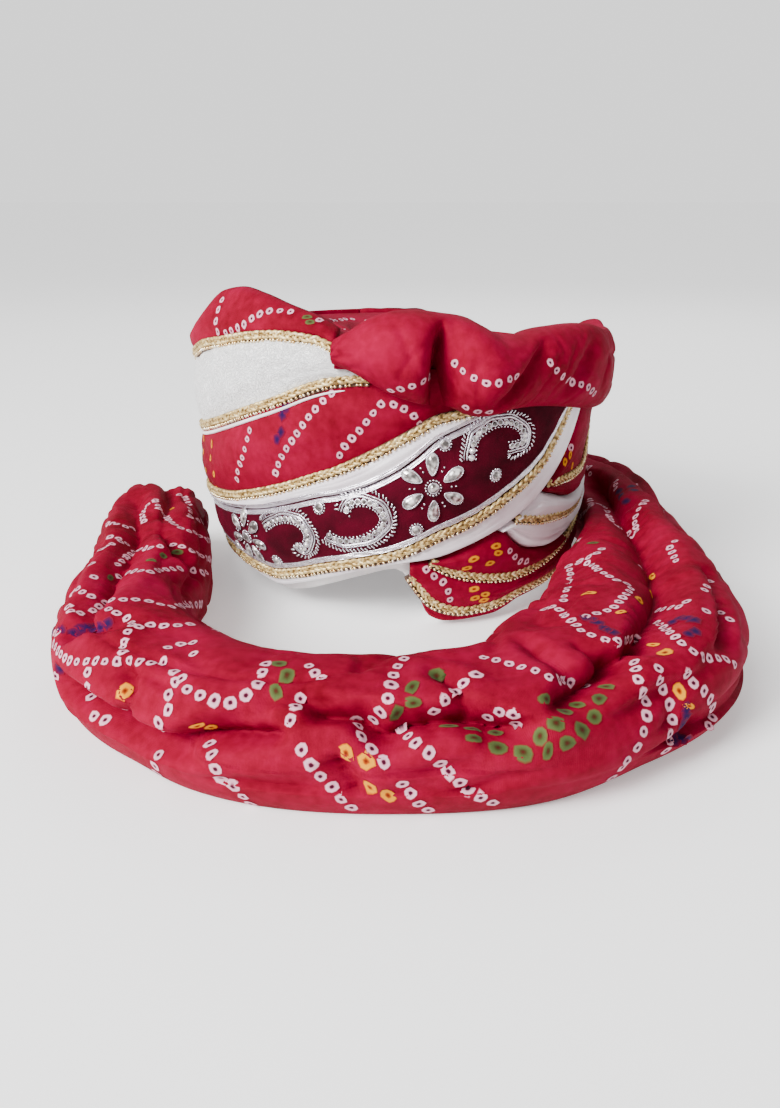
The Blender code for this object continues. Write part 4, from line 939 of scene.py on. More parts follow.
full -= 0.050 * creases(u / 0.034 - 1.5 * v, v * 14 + 9 * u, 92, 0.18, 14)
full += 0.060 * hills(u / 0.060, v * 8 + 4 * u, 93, 8) + 0.014 * hills(u / 0.012, v * 40, 94, 40)
tail_points = rolled(full)
tail = add_cloth("tail", tail_points, RED, ("tail",))

# %% [markdown]
# The tail leaves the turban at the back. Its cloth is pleated where it comes down between the ends of the
# wraps, and it spreads onto the tail below.

# %% The root of the tail
ROOT_SIDE, ROOT_TOP, ROOT_OUT, ROOT_SPREAD, ROOT_BACK = 12.5, WALL_HEIGHT - 0.0005, 0.016, 0.024, 0.0003
row_share = np.linspace(0, 1, 60)[:, None]
side = np.linspace(-ROOT_SIDE, ROOT_SIDE, 61)[None, :]
tail_start = np.interp(180 + side, TAIL_ROUTE[:4, 0][::-1], np.arange(4)[::-1])
floor_top = tail_line(tail_start[0])[2][None, :] + ROOT_BACK
pleats = (0.55 + 0.45 * np.abs(np.cos(np.radians(side * 22 + 10 * np.sin(row_share * 5))))
          + 0.08 * hills(side / 2, row_share * 6, 97))
root_out = (ROOT_BACK + ROOT_OUT * (1 - 0.38 * row_share) * pleats
            + ROOT_SPREAD * np.maximum(0, 1 - row_share / 0.30) ** 2)
root_front = on_wall(180 + side, floor_top + (ROOT_TOP - rim_dip(180 + side) - floor_top) * row_share, root_out)
side_back = np.linspace(ROOT_SIDE, -ROOT_SIDE, 9)[None, :]
back_floor = np.interp(180 + side_back, (180 + side)[0], floor_top[0])
root_back = on_wall(180 + side_back, back_floor + (ROOT_TOP - rim_dip(180 + side_back) - back_floor) * row_share,
                    ROOT_BACK)
add_cloth("tail_root", np.concatenate((root_front, root_back), axis=1), RED, ("tail_root",))

# %% [markdown]
# ## Small shapes in batches
#
# Braids, beads, stitches and dyed dots are thousands of small shapes. A batch collects them as arrays and makes
# one mesh at the end, which is much quicker than one object for each.


# %% The batch helper
class Batch:
    """Collects grids and copies of small shapes, and makes one piece of them."""

    def __init__(self, *finishes):
        self.finishes, self.points, self.faces, self.which, self.dyes, self.count = finishes, [], [], [], [], 0

    def keep(self, points, faces, finish=0, dyes=None):
        points = points.reshape(-1, 3)
        self.points.append(points)
        self.faces += faces
        self.which += [finish] * len(faces)
        if dyes is not None:
            self.dyes.append(dyes)
        self.count += len(points)

    def grid(self, points, finish=0, round_rows=False):
        """A tube of points. Its ends are capped unless it is a ring."""
        rows, columns = points.shape[:2]
        faces = grid_faces(rows, columns, round_rows, True, self.count).tolist()
        if not round_rows:
            faces += [list(range(self.count, self.count + columns)),
                      list(range(self.count + rows * columns - 1, self.count + (rows - 1) * columns - 1, -1))]
        self.keep(points, faces, finish)

    def copies(self, shape, centres, right, up, out, finish=0):
        """A copy of the shape at each centre. The three directions carry its size."""
        points, faces = shape
        axes = np.stack([np.broadcast_to(a, np.shape(centres)) for a in (right, up, out)], axis=1)
        made = np.asarray(centres)[:, None] + np.einsum("pk,nkc->npc", points, axes)
        starts = self.count + len(points) * np.arange(len(centres))
        self.keep(made, [[s + k for k in face] for s in starts.tolist() for face in faces], finish)

    def make(self, name, slot, replaced=()):
        made = add_piece(name, np.concatenate(self.points), self.faces, self.finishes, replaced,
                         face_finish=self.which, dyes=np.concatenate(self.dyes) if self.dyes else None)
        print(name, len(self.faces), "faces")
        return made


def turned_shape(rings, sides):
    """A shape turned round its out axis from (radius, height) rings, the lowest ring first."""
    turn = np.arange(sides) * 2 * np.pi / sides
    points = [np.stack((r * np.cos(turn), r * np.sin(turn), 0 * turn + z), axis=-1) for r, z in rings]
    faces = []
    for low in range(0, (len(rings) - 1) * sides, sides):
        high = low + sides
        faces += [[low + i, low + (i + 1) % sides, high + (i + 1) % sides, high + i] for i in range(sides)]
    faces.append(list(range(sides))[::-1])
    faces.append([(len(rings) - 1) * sides + i for i in range(sides)])
    return np.concatenate(points), faces


BALL = turned_shape([(np.cos(a), np.sin(a)) for a in np.radians((-72, -36, 0, 36, 72))], 8)


def tube(path, up, out, radius, sides=6):
    """Rings of points round a path. The radius may change along it."""
    turn = np.arange(sides) * 2 * np.pi / sides
    radius = np.broadcast_to(radius, (len(path),))[:, None, None]
    return path[:, None] + radius * (np.cos(turn)[None, :, None] * out[:, None]
                                     + np.sin(turn)[None, :, None] * up[:, None])


# %% Points along a seam
def along_seam(seam, first, last, out, lifted=False, step=0.001):
    """Even points on a seam, and the directions along it, up across it and out of the cloth."""
    angles = np.linspace(first, last, 2400)

    def place(angle, more=0.0):
        return on_wall(angle, seam(angle), out + more + (crossing_lift(angle) if lifted else 0.0))

    walked = np.concatenate(([0], np.cumsum(np.linalg.norm(np.diff(place(angles), axis=0), axis=1))))
    at = np.arange(0, walked[-1], step)
    angles = np.interp(at, walked, angles)
    heading = unit(np.gradient(place(angles), axis=0))
    outward = place(angles, 0.001) - place(angles)
    outward = unit(outward - heading * (outward * heading).sum(axis=1)[:, None])
    return at, place(angles), heading, np.cross(outward, heading), outward


# %% [markdown]
# ## Gold braids
#
# Each seam of the wraps is covered by a gold braid: a dark ribbon, a plait of three gold threads along its upper
# part and a row of small round beads below. In a plait the threads swing from side to side and change places,
# so one thread's path is a sine across the ribbon with a second sine of twice the rate for over and under.

# %% Lay the braids
PLAIT_PERIOD, THREAD, SWING, OVER_UNDER = 0.0126, 0.00086, 0.00140, 0.00060
PLAIT_UP, PLAIT_OUT, BRAID_OUT = 0.0011, 0.00095, WRAP_EDGE + 0.0012
BEAD_PITCH, BEAD_SIZE, BEADS_DOWN, BEADS_OUT = 0.0027, 0.00098, 0.0019, 0.0008
RIBBON = ((-0.0033, -0.0036), (-0.0033, -0.0004), (-0.0028, 0.0), (0.0, 0.0002), (0.0028, 0.0), (0.0033, -0.0004),
          (0.0033, -0.0036))


def lay_braid(name, seam, first, last, lifted=False):
    """A braid along a seam. On the lappet it starts where the seam comes out from under the crossing rim."""
    if name in ("hem_trim", "lappet_trim", "satin_trim", "top_trim"):
        tried = np.arange(first, last, 0.25)
        over = rim(np.minimum(tried, RIM_END)) + np.maximum(0, tried - RIM_END) - 0.0016
        first = tried[np.argmax(seam(tried) < over)]
    at, path, heading, up, out = along_seam(seam, first, last, BRAID_OUT, lifted)
    batch = Batch(GOLD, BEAD, GROUND)
    batch.grid(np.stack([path + up * a + out * b for a, b in RIBBON], axis=1), 2)
    for strand in range(3):
        phase = 2 * np.pi * (at / PLAIT_PERIOD + strand / 3)
        wander = 1 + 0.10 * hills(at / 0.006, strand, 200 + strand)
        centre = (path + up * (PLAIT_UP + SWING * np.sin(phase) * wander)[:, None]
                  + out * (PLAIT_OUT + OVER_UNDER * np.sin(2 * phase))[:, None])
        turned = unit(np.gradient(centre, axis=0))
        side = unit(np.cross(out, turned))
        batch.grid(tube(centre, side, np.cross(turned, side), THREAD * (1 + 0.16 * np.abs(np.sin(phase)))))
    spots = np.arange(0.0006, at[-1], BEAD_PITCH)
    spots = spots + 0.0003 * hills(spots / BEAD_PITCH, 0, 207)
    pick = np.clip(np.searchsorted(at, spots), 0, len(at) - 1)
    size = BEAD_SIZE * (1 + 0.10 * hills(spots / BEAD_PITCH, 1, 208))[:, None]
    down = BEADS_DOWN + 0.00020 * hills(spots / 0.004, 2, 209)
    centres = path[pick] - up[pick] * down[:, None] + out[pick] * BEADS_OUT
    batch.copies(BALL, centres, heading[pick] * size, up[pick] * size, out[pick] * size, 1)
    batch.make(name, "gold_braid", (name,))


for braid in (("low_trim", low_line, -BACK_EDGE, 62, True), ("red_trim", red_line, -BACK_EDGE, 26, True),
              ("white_trim", white_line, -BACK_EDGE, -6), ("crown_trim", crown_line, -BACK_EDGE, -14.5),
              ("hem_trim", hem_line, 4, BACK_EDGE), ("lappet_trim", lappet_line, 5, BACK_EDGE),
              ("satin_trim", satin_line, 22, BACK_EDGE), ("top_trim", top_line, 34, BACK_EDGE)):
    lay_braid(*braid)

# %% [markdown]
# A narrow white edge shows under the braid of the white wrap. Silver thread is couched in close rows along both
# edges of the velvet: a strip whose section is a row of small ridges.

# %% White edge and silver borders
edging = Batch(SATIN)
_, path, heading, up, out = along_seam(lambda a: white_line(a) - 0.0046, -100, -12, WRAP_EDGE + 0.0016)
taper = np.sin(np.pi * np.linspace(0, 1, len(path))) ** 0.4
edging.grid(tube(path, up, out, 0.0010 * taper + 0.0001, 8))
edging.make("white_edge", "white_satin")


def silver_border(batch, cloth, seam, offset, ridges, first, last, ridge=0.00085):
    """Rows of couched thread on a cloth beside a seam, from its offset upwards."""
    tree = cloth_tree(made_pieces[cloth])
    at, path, heading, up, outward = along_seam(seam, first, last, WRAP_EDGE, True, 0.0014)
    columns = []
    for k in range(4 * ridges + 1):
        across = offset + ridge * k / 4 + 0.00018 * hills(at / 0.010, k // 4, 300)
        high = 0.0002 + 0.00042 * abs(math.sin(math.pi * k / 4)) * (1 + 0.5 * np.sin(at / 0.0021 + 1.7 * (k // 4)))
        spots = path + up * across[:, None]
        hits = [tree.ray_cast(Vector(s + 0.012 * o), Vector(-o), 0.02) for s, o in zip(spots, outward)]
        laid = np.array([np.array(h[0]) if h[0] else s for h, s in zip(hits, spots)])
        columns.append(laid + outward * high[:, None])
    columns += [columns[-1] - outward * 0.0014, columns[0] - outward * 0.0014]
    batch.grid(np.stack(columns, axis=1))


borders = Batch(SILVER)
silver_border(borders, "velvet_band", low_line, 0.0037, 4, -BACK_EDGE, 54)
silver_border(borders, "velvet_band", velvet_top, -0.0032, 3, -BACK_EDGE, 34)
silver_border(borders, "satin_fold", velvet_top, 0.0014, 2, -BACK_EDGE, 22)
borders.make("silver_borders", "silver_wire")

# %% [markdown]
# ## Embroidery on the velvet
#
# The flowers, curls and single stones stand at angles round the wall and at shares of the velvet's width, as in
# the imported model. A search tree of the velvet finds its surface, so that each stone and thread sits on it.

# %% Places on the velvet
velvet_tree = cloth_tree(made_pieces["velvet_band"])


def velvet_at(angle, share):
    """Points on the velvet and its directions right, up and out, for arrays of angles and shares."""
    angle, share = np.broadcast_arrays(np.asarray(angle, float), np.asarray(share, float))
    low, high = low_line(angle) + 0.0042, velvet_top(angle) - 0.0005
    height = low + (high - low) * share
    start = on_wall(angle, height, 0.03)
    inward = unit(on_wall(angle, height, 0.0) - start)
    points, normals = np.empty_like(start), np.empty_like(start)
    for k in np.ndindex(angle.shape):
        hit = velvet_tree.ray_cast(Vector(start[k]), Vector(inward[k]))
        points[k], normals[k] = (hit[0], hit[1]) if hit[0] else (start[k] + inward[k] * 0.022, -inward[k])
    right = np.stack((np.cos(np.radians(angle)), np.sin(np.radians(angle)), 0 * angle), axis=-1)
    right = unit(right - normals * (right * normals).sum(axis=-1)[..., None])
    return points, right, np.cross(normals, right), normals


def on_velvet(frame, across, up, lift=0.0):
    """Points at flat offsets from a frame, dropped onto the velvet, and the cloth's normals there."""
    origin, right, upward, out = frame
    spots = origin + np.asarray(across)[..., None] * right + np.asarray(up)[..., None] * upward + 0.02 * out
    points, normals = np.empty_like(spots), np.empty_like(spots)
    for k in np.ndindex(spots.shape[:-1]):
        hit = velvet_tree.ray_cast(Vector(spots[k]), Vector(-out))
        points[k], normals[k] = (hit[0], hit[1]) if hit[0] else (spots[k] - 0.02 * out, out)
    return points + lift * normals, normals


# %% [markdown]
# A cut stone is a flat table with sloping facets round it. Its outline is round or a drop. A twisted silver wire
# runs round the outline as its setting.

# %% Cut stones and their settings
stones, wires = Batch(CRYSTAL), Batch(SILVER)
STONE_RINGS = ((1.0, 0.0), (1.0, 0.30), (0.80, 0.72), (0.52, 1.0))


def round_shape(diameter, sides=12):
    turn = np.arange(sides) * 2 * np.pi / sides
    return diameter / 2 * np.stack((np.cos(turn), np.sin(turn)), axis=-1)


def drop_shape(length, width, sides=18):
    """A drop with its point towards minus x."""
    turn = np.arange(sides) * 2 * np.pi / sides
    belly, tip = 0.80 + 0.30 * np.cos(turn), np.sqrt(1 - 0.25 * np.cos(turn / 2) ** 8)
    return np.stack((length / 2 * np.cos(turn), width / 2 * np.sin(turn) * belly * tip), axis=-1)


def set_stone(point, across, up, out, outline, tall, wire=0.00050):
    """A cut stone of this outline and height at a point, and the twisted wire round it."""
    rows = np.stack([point + s * (outline[:, :1] * across + outline[:, 1:] * up) + tall * z * out
                     for s, z in STONE_RINGS])
    start, sides = stones.count, len(outline)
    table = start + (len(STONE_RINGS) - 1) * sides
    stones.keep(rows, grid_faces(len(STONE_RINGS), sides, False, True, start)[:, ::-1].tolist()
                + [list(range(start, start + sides))[::-1], list(range(table, table + sides))])
    fine = np.linspace(0, 1, 3 * sides, endpoint=False)
    loop = np.stack([np.interp(fine, np.linspace(0, 1, sides + 1), np.append(outline[:, k], outline[0, k]))
                     for k in (0, 1)], axis=-1) * 1.05
    ring = point + loop[:, :1] * across + loop[:, 1:] * up + out * 0.35 * tall
    outside = np.cross(unit(np.roll(ring, -1, axis=0) - np.roll(ring, 1, axis=0)), out)
    twist = 1 + 0.22 * np.cos(np.pi * np.arange(len(ring)))
    wires.grid(tube(ring, outside, np.broadcast_to(out, ring.shape), wire * twist), round_rows=True)


# Columns: angle, share of the velvet's width, number of petals, turn of the first, size
FLOWERS = ((8.9, 0.54, 6, 32, 1.0), (-46, 0.51, 7, -9, 0.92))
ROUND_STONES = np.array(((11.7, 0.93), (5.0, 0.17), (24.9, 0.31), (-19.6, 0.87), (-35.4, 0.15), (-55.0, 0.14)))
FLOWER_RADIUS, PETAL_LENGTH, PETAL_WIDTH, STONE_DIAMETER, STONE_HEIGHT = 0.0125, 0.0112, 0.0070, 0.0064, 0.0024
HEART_BEADS, STONE_BEADS, RAY_BEADS, BEAD_LIFT = 0.0041, 0.0034, (0.0098, 0.0122), 0.0004
seeds = []
for angle, share, petals, first_turn, size in FLOWERS:
    frame = velvet_at(angle, share)
    out = frame[3]
    heart = on_velvet(frame, np.zeros(1), np.zeros(1))[0][0]
    set_stone(heart, frame[1], frame[2], out, round_shape(STONE_DIAMETER * size * 0.80), STONE_HEIGHT)
    turns = np.radians(first_turn + 360.0 * np.arange(petals) / petals)
    petal_shape = drop_shape(PETAL_LENGTH * size, PETAL_WIDTH * size)
    places, normals = on_velvet(frame, FLOWER_RADIUS * size * np.cos(turns), FLOWER_RADIUS * size * np.sin(turns))
    for turn, place, normal in zip(turns, places, normals):
        across = math.cos(turn) * frame[1] + math.sin(turn) * frame[2]
        across = unit(across - normal * (across @ normal))
        set_stone(place, across, np.cross(normal, across), normal, petal_shape, STONE_HEIGHT * 0.85, 0.00042)
    heart_ring, between = np.radians(np.arange(16) * 22.5), turns + np.pi / petals
    for radius, ring in ((HEART_BEADS, heart_ring), *((radius, between) for radius in RAY_BEADS)):
        seeds += list(zip(*on_velvet(frame, radius * size * np.cos(ring), radius * size * np.sin(ring), BEAD_LIFT)))
for angle, share in ROUND_STONES:
    frame = velvet_at(angle, share)
    set_stone(frame[0], frame[1], frame[2], frame[3], round_shape(STONE_DIAMETER * 0.72), STONE_HEIGHT * 0.9)
    ring = np.radians(np.arange(14) * 360 / 14)
    seeds += list(zip(*on_velvet(frame, STONE_BEADS * np.cos(ring), STONE_BEADS * np.sin(ring), 0.0003)))
print("cut stones", stones.count // 40)

# %% [markdown]
# Each curl is a leaf of three lines: a row of small set stones inside, a wire-wrapped cord, and a spray of short
# tube beads outside. All follow one route, at steady distances to its side.

# %% Curls of stones, cord and tube beads
SCROLLS = {
    "scroll_left": ((-38, 0.76), (-34.7, 0.84), (-30.6, 0.86), (-26.4, 0.8), (-23.6, 0.66), (-22.2, 0.5),
                    (-22.6, 0.35), (-25.2, 0.25), (-27.6, 0.4)),
    "scroll_middle": ((-17.8, 0.44), (-15.4, 0.33), (-12.8, 0.27), (-8.3, 0.24), (-4.1, 0.3), (-2.1, 0.4),
                      (-2.1, 0.54), (-4.3, 0.73), (-8.1, 0.87), (-12, 0.89), (-13.2, 0.74)),
    "scroll_right": ((17.3, 0.65), (17.8, 0.81), (18.8, 0.89), (21.4, 0.92), (24.7, 0.9), (28.2, 0.82), (31.3, 0.7),
                     (33.4, 0.54), (33.0, 0.43), (30.4, 0.45), (27.7, 0.51)),
}
CORDS = ((0.0007, 0.00075, 0.0011), (0.0022, 0.00045, 0.0009))  # distance to the side, thickness, twist
TUBE_BEAD = turned_shape(((0.72, -1.0), (1.0, -0.8), (1.0, 0.8), (0.72, 1.0)), 6)
TUBE_THICK, TUBE_HALF, SEED_BEAD = 0.00046, 0.00115, 0.00055


def even_walk(points, pitch, start=0.0):
    """Row numbers, with fractions, at even distances along a line of points."""
    walked = np.concatenate(([0], np.cumsum(np.linalg.norm(np.diff(points, axis=0), axis=1))))
    return np.interp(np.arange(start, walked[-1], pitch), walked, np.arange(len(points)))


def picked(rows, at):
    """The rows at row numbers with fractions."""
    i = np.clip(np.floor(at).astype(int), 0, len(rows) - 2)
    return rows[i] + (rows[i + 1] - rows[i]) * (at - i)[:, None]


for name, route in SCROLLS.items():
    route = np.array(route)
    t = np.linspace(0, len(route) - 1, 160)
    line, right, upward, out = velvet_at(spline(route, 0, t), spline(route, 1, t))
    heading = unit(np.gradient(line, axis=0))
    side = np.cross(out, heading)
    if ((line - line.mean(axis=0)) * side).sum() < 0:
        side = -side
    taper = np.sin(np.pi * np.linspace(0.03, 0.97, len(t))) ** 0.35
    for offset, thick, pitch in CORDS:
        cord = line + side * (offset + 0.0003 * np.sin(t * 4))[:, None] + out * thick * 0.8
        at = even_walk(cord, pitch / 2)
        twist = 1 + 0.25 * np.cos(np.pi * np.arange(len(at)))
        radius = thick * twist * np.interp(at, np.arange(len(t)), taper)
        wires.grid(tube(picked(cord, at), picked(side, at), picked(out, at), radius))
    at = even_walk(line, 0.0037, 0.0016)
    for point, h, s, o in zip(*(picked(a, at) for a in (line - side * 0.0018, heading, side, out))):
        set_stone(point, h, s, unit(o), round_shape(0.0029, 8), 0.0016, 0.00036)
    at = even_walk(line + side * 0.0040, 0.0021)
    lean_in = 0.75 + 0.45 * hills(at / 6, 0, 401)[:, None]
    direction = unit(picked(side, at) + picked(heading, at) * lean_in)
    reach = (0.0043 + 0.0006 * hills(at / 3, 0, 402))[:, None]
    centres = picked(line, at) + picked(side, at) * reach + picked(out, at) * 0.0006
    across = unit(np.cross(picked(out, at), direction))
    wires.copies(TUBE_BEAD, centres, across * TUBE_THICK, np.cross(direction, across) * TUBE_THICK,
                 direction * TUBE_HALF)
    at = even_walk(line, 0.0024, 0.0008)
    seeds += list(zip(picked(line - side * 0.0042, at) + picked(out, at) * BEAD_LIFT, picked(out, at)))
seed_points, seed_normals = (np.array(a) for a in zip(*seeds))
flat = unit(np.cross(seed_normals, np.array((0.1, 0.2, 1.0))))
wires.copies(BALL, seed_points, flat * SEED_BEAD, np.cross(seed_normals, flat) * SEED_BEAD, seed_normals * SEED_BEAD)

cad_petals = [f"front_flower_petal_{k}" for k in range(1, 7)] + [f"left_flower_petal_{k}" for k in range(1, 8)]
cad_stones = [f"round_stone_{k}" for k in range(1, 7)]
cut_stones = stones.make("cut_stones", "clear_stone",
                         ("front_flower_heart", "left_flower_heart", *cad_petals, *cad_stones))
cut_stones.data.shade_flat()
wires.make("silver_wirework", "silver_wire", tuple(SCROLLS))

# %% [markdown]
# ## Tie-dyed rings
#
# For tie-dye, tiny pinches of cloth are bound with thread before dyeing, and each leaves a pale ring with a dark
# middle. The rings run in wavy strings, with small groups of yellow and green ones and a few blue stains between.
# Each ring is a thin round mesh laid on the cloth, with its colours at its points.

# %% Rings that lie on the cloth
RED_CLOTHS = ("tail", "crest", "crown_cover", "crown_wrap", "red_wrap", "hem_wrap", "lappet_wrap", "spotted_wrap",
              "tucked_wrap", "upper_wrap", "tail_root")
corners, polygons = [], []
for name in RED_CLOTHS:
    start, mesh = len(corners), made_pieces[name].data
    corners += [v.co.copy() for v in mesh.vertices]
    polygons += [[start + k for k in p.vertices] for p in mesh.polygons]
red_cloth = BVHTree.FromPolygons(corners, polygons)

# Colours from the middle of a ring to its edge
DYES = {
    "white": ((0.03, 0.0, 0.010), (0.07, 0.0, 0.015), (0.60, 0.28, 0.36), (0.68, 0.38, 0.46), (0.34, 0.01, 0.05)),
    "yellow": ((0.10, 0.005, 0.0), (0.30, 0.04, 0.0), (0.66, 0.24, 0.0), (0.68, 0.28, 0.004), (0.36, 0.02, 0.004)),
    "green": ((0.06, 0.004, 0.003), (0.045, 0.030, 0.008), (0.050, 0.068, 0.018), (0.070, 0.098, 0.028),
              (0.15, 0.01, 0.012)),
    "blue": ((0.014, 0.0, 0.042), (0.018, 0.0, 0.044), (0.040, 0.0, 0.042), (0.095, 0.0, 0.026), CLOTH_RED),
}
RING_ROWS, RING_SIDES, RING_LIFT = (0.03, 0.26, 0.44, 0.80, 1.0), 10, 0.00022
ring_turn = np.arange(RING_SIDES) * 2 * np.pi / RING_SIDES
SQUARISH = (np.abs(np.cos(ring_turn)) ** 2.6 + np.abs(np.sin(ring_turn)) ** 2.6) ** (-1 / 2.6)
FOLD_JUMP, FIRST_RING = 0.006, 0.3
chance = np.random.default_rng(11)
rings = Batch(DYE)


def add_ring(point, normal, along, long, wide, dye="white"):
    """A ring with its long side along the string. One that would bend too far is left out."""
    normal = unit(np.asarray(normal, float))
    along = unit(along - normal * (along @ normal))
    across = np.cross(normal, along)
    edge = SQUARISH * chance.uniform(0.86, 1.10, RING_SIDES)
    if dye == "blue":
        edge = edge * chance.uniform(0.75, 1.15, RING_SIDES)
    reach = np.array(RING_ROWS)[:, None] * edge
    flat = ((reach * np.cos(ring_turn))[..., None] * along * long / 2
            + (reach * np.sin(ring_turn))[..., None] * across * wide / 2)
    spots = np.asarray(point) + flat
    for k in np.ndindex(spots.shape[:2]):
        hit = red_cloth.ray_cast(Vector(spots[k] + 0.003 * normal), Vector(-normal), 0.0075)
        spots[k] = hit[0] + hit[1] * RING_LIFT if hit[0] else spots[k] - 0.0002 * normal
    furthest = 0.0008 + 0.45 * min(long, wide)
    if np.abs((spots - point) @ normal).max() > furthest:
        return
    start = rings.count
    faces = grid_faces(len(RING_ROWS), RING_SIDES, False, True, start).tolist()
    faces.append(list(range(start, start + RING_SIDES)))
    tint = np.repeat(np.array(DYES[dye]) * chance.uniform(0.85, 1.08), RING_SIDES, axis=0)
    rings.keep(spots, faces, 0, np.concatenate((tint, np.ones((len(tint), 1))), axis=1))


def string_of_rings(hits, pitch, size):
    """Rings at even distances along a line of cloth points with normals. A jump from fold to fold leaves a gap."""
    points = np.array([h[0] for h in hits])
    steps = np.linalg.norm(np.diff(points, axis=0), axis=1)
    walked = np.concatenate(([0], np.cumsum(np.where(steps > FOLD_JUMP, 0.25 * steps, steps))))
    heading = np.gradient(points, axis=0)
    for spot in np.arange(FIRST_RING * pitch, walked[-1], pitch):
        k = int(np.clip(np.searchsorted(walked, spot), 1, len(points) - 2))
        if np.linalg.norm(points[k + 1] - points[k - 1]) < 2 * FOLD_JUMP and np.linalg.norm(heading[k]) > 1e-7:
            long, wide = size * chance.uniform(0.82, 1.08), size * chance.uniform(0.80, 1.12)
            add_ring(points[k], hits[k][1], heading[k], long, wide)


# %% [markdown]
# The strings in view are charted as they lie in the picture, in pixels, and dropped through the camera onto the
# cloth. A smooth curve goes through the points of each string.

# %% Strings in view
def seen_at(x, y):
    """The point of the cloth seen at a point of the picture, and its normal."""
    hit = red_cloth.ray_cast(CAMERA_AT, picture_ray(x, y))
    return (np.array(hit[0]), np.array(hit[1])) if hit[0] else None


WRAP_STRINGS = (
    ((237, 482), (238, 470), (243, 456), (246, 444), (250, 430)),
    ((275, 476), (281, 458), (294, 438), (308, 418), (322, 402), (336, 390)),
    ((338, 458), (346, 445), (360, 430), (374, 412), (386, 399)), ((390, 403), (402, 408), (412, 414), (420, 424)),
    ((224, 333), (240, 327), (256, 316), (272, 311), (294, 312)), ((224, 296), (219, 308), (216, 322), (218, 332)),
    ((316, 321), (326, 319), (336, 321), (346, 319), (358, 320)),
    ((388, 391), (405, 388), (418, 384), (430, 376), (437, 368)),
    ((452, 360), (463, 371), (478, 380), (494, 384), (510, 379), (526, 372)),
    ((548, 360), (558, 372), (570, 381), (588, 387), (596, 396)), ((462, 405), (474, 411), (490, 412)),
    ((424, 566), (430, 574), (440, 579), (447, 588), (450, 600)), ((508, 548), (514, 556), (522, 562), (530, 560)),
    ((548, 430), (556, 436), (566, 442), (574, 452)), ((410, 572), (414, 584), (420, 596)),
)
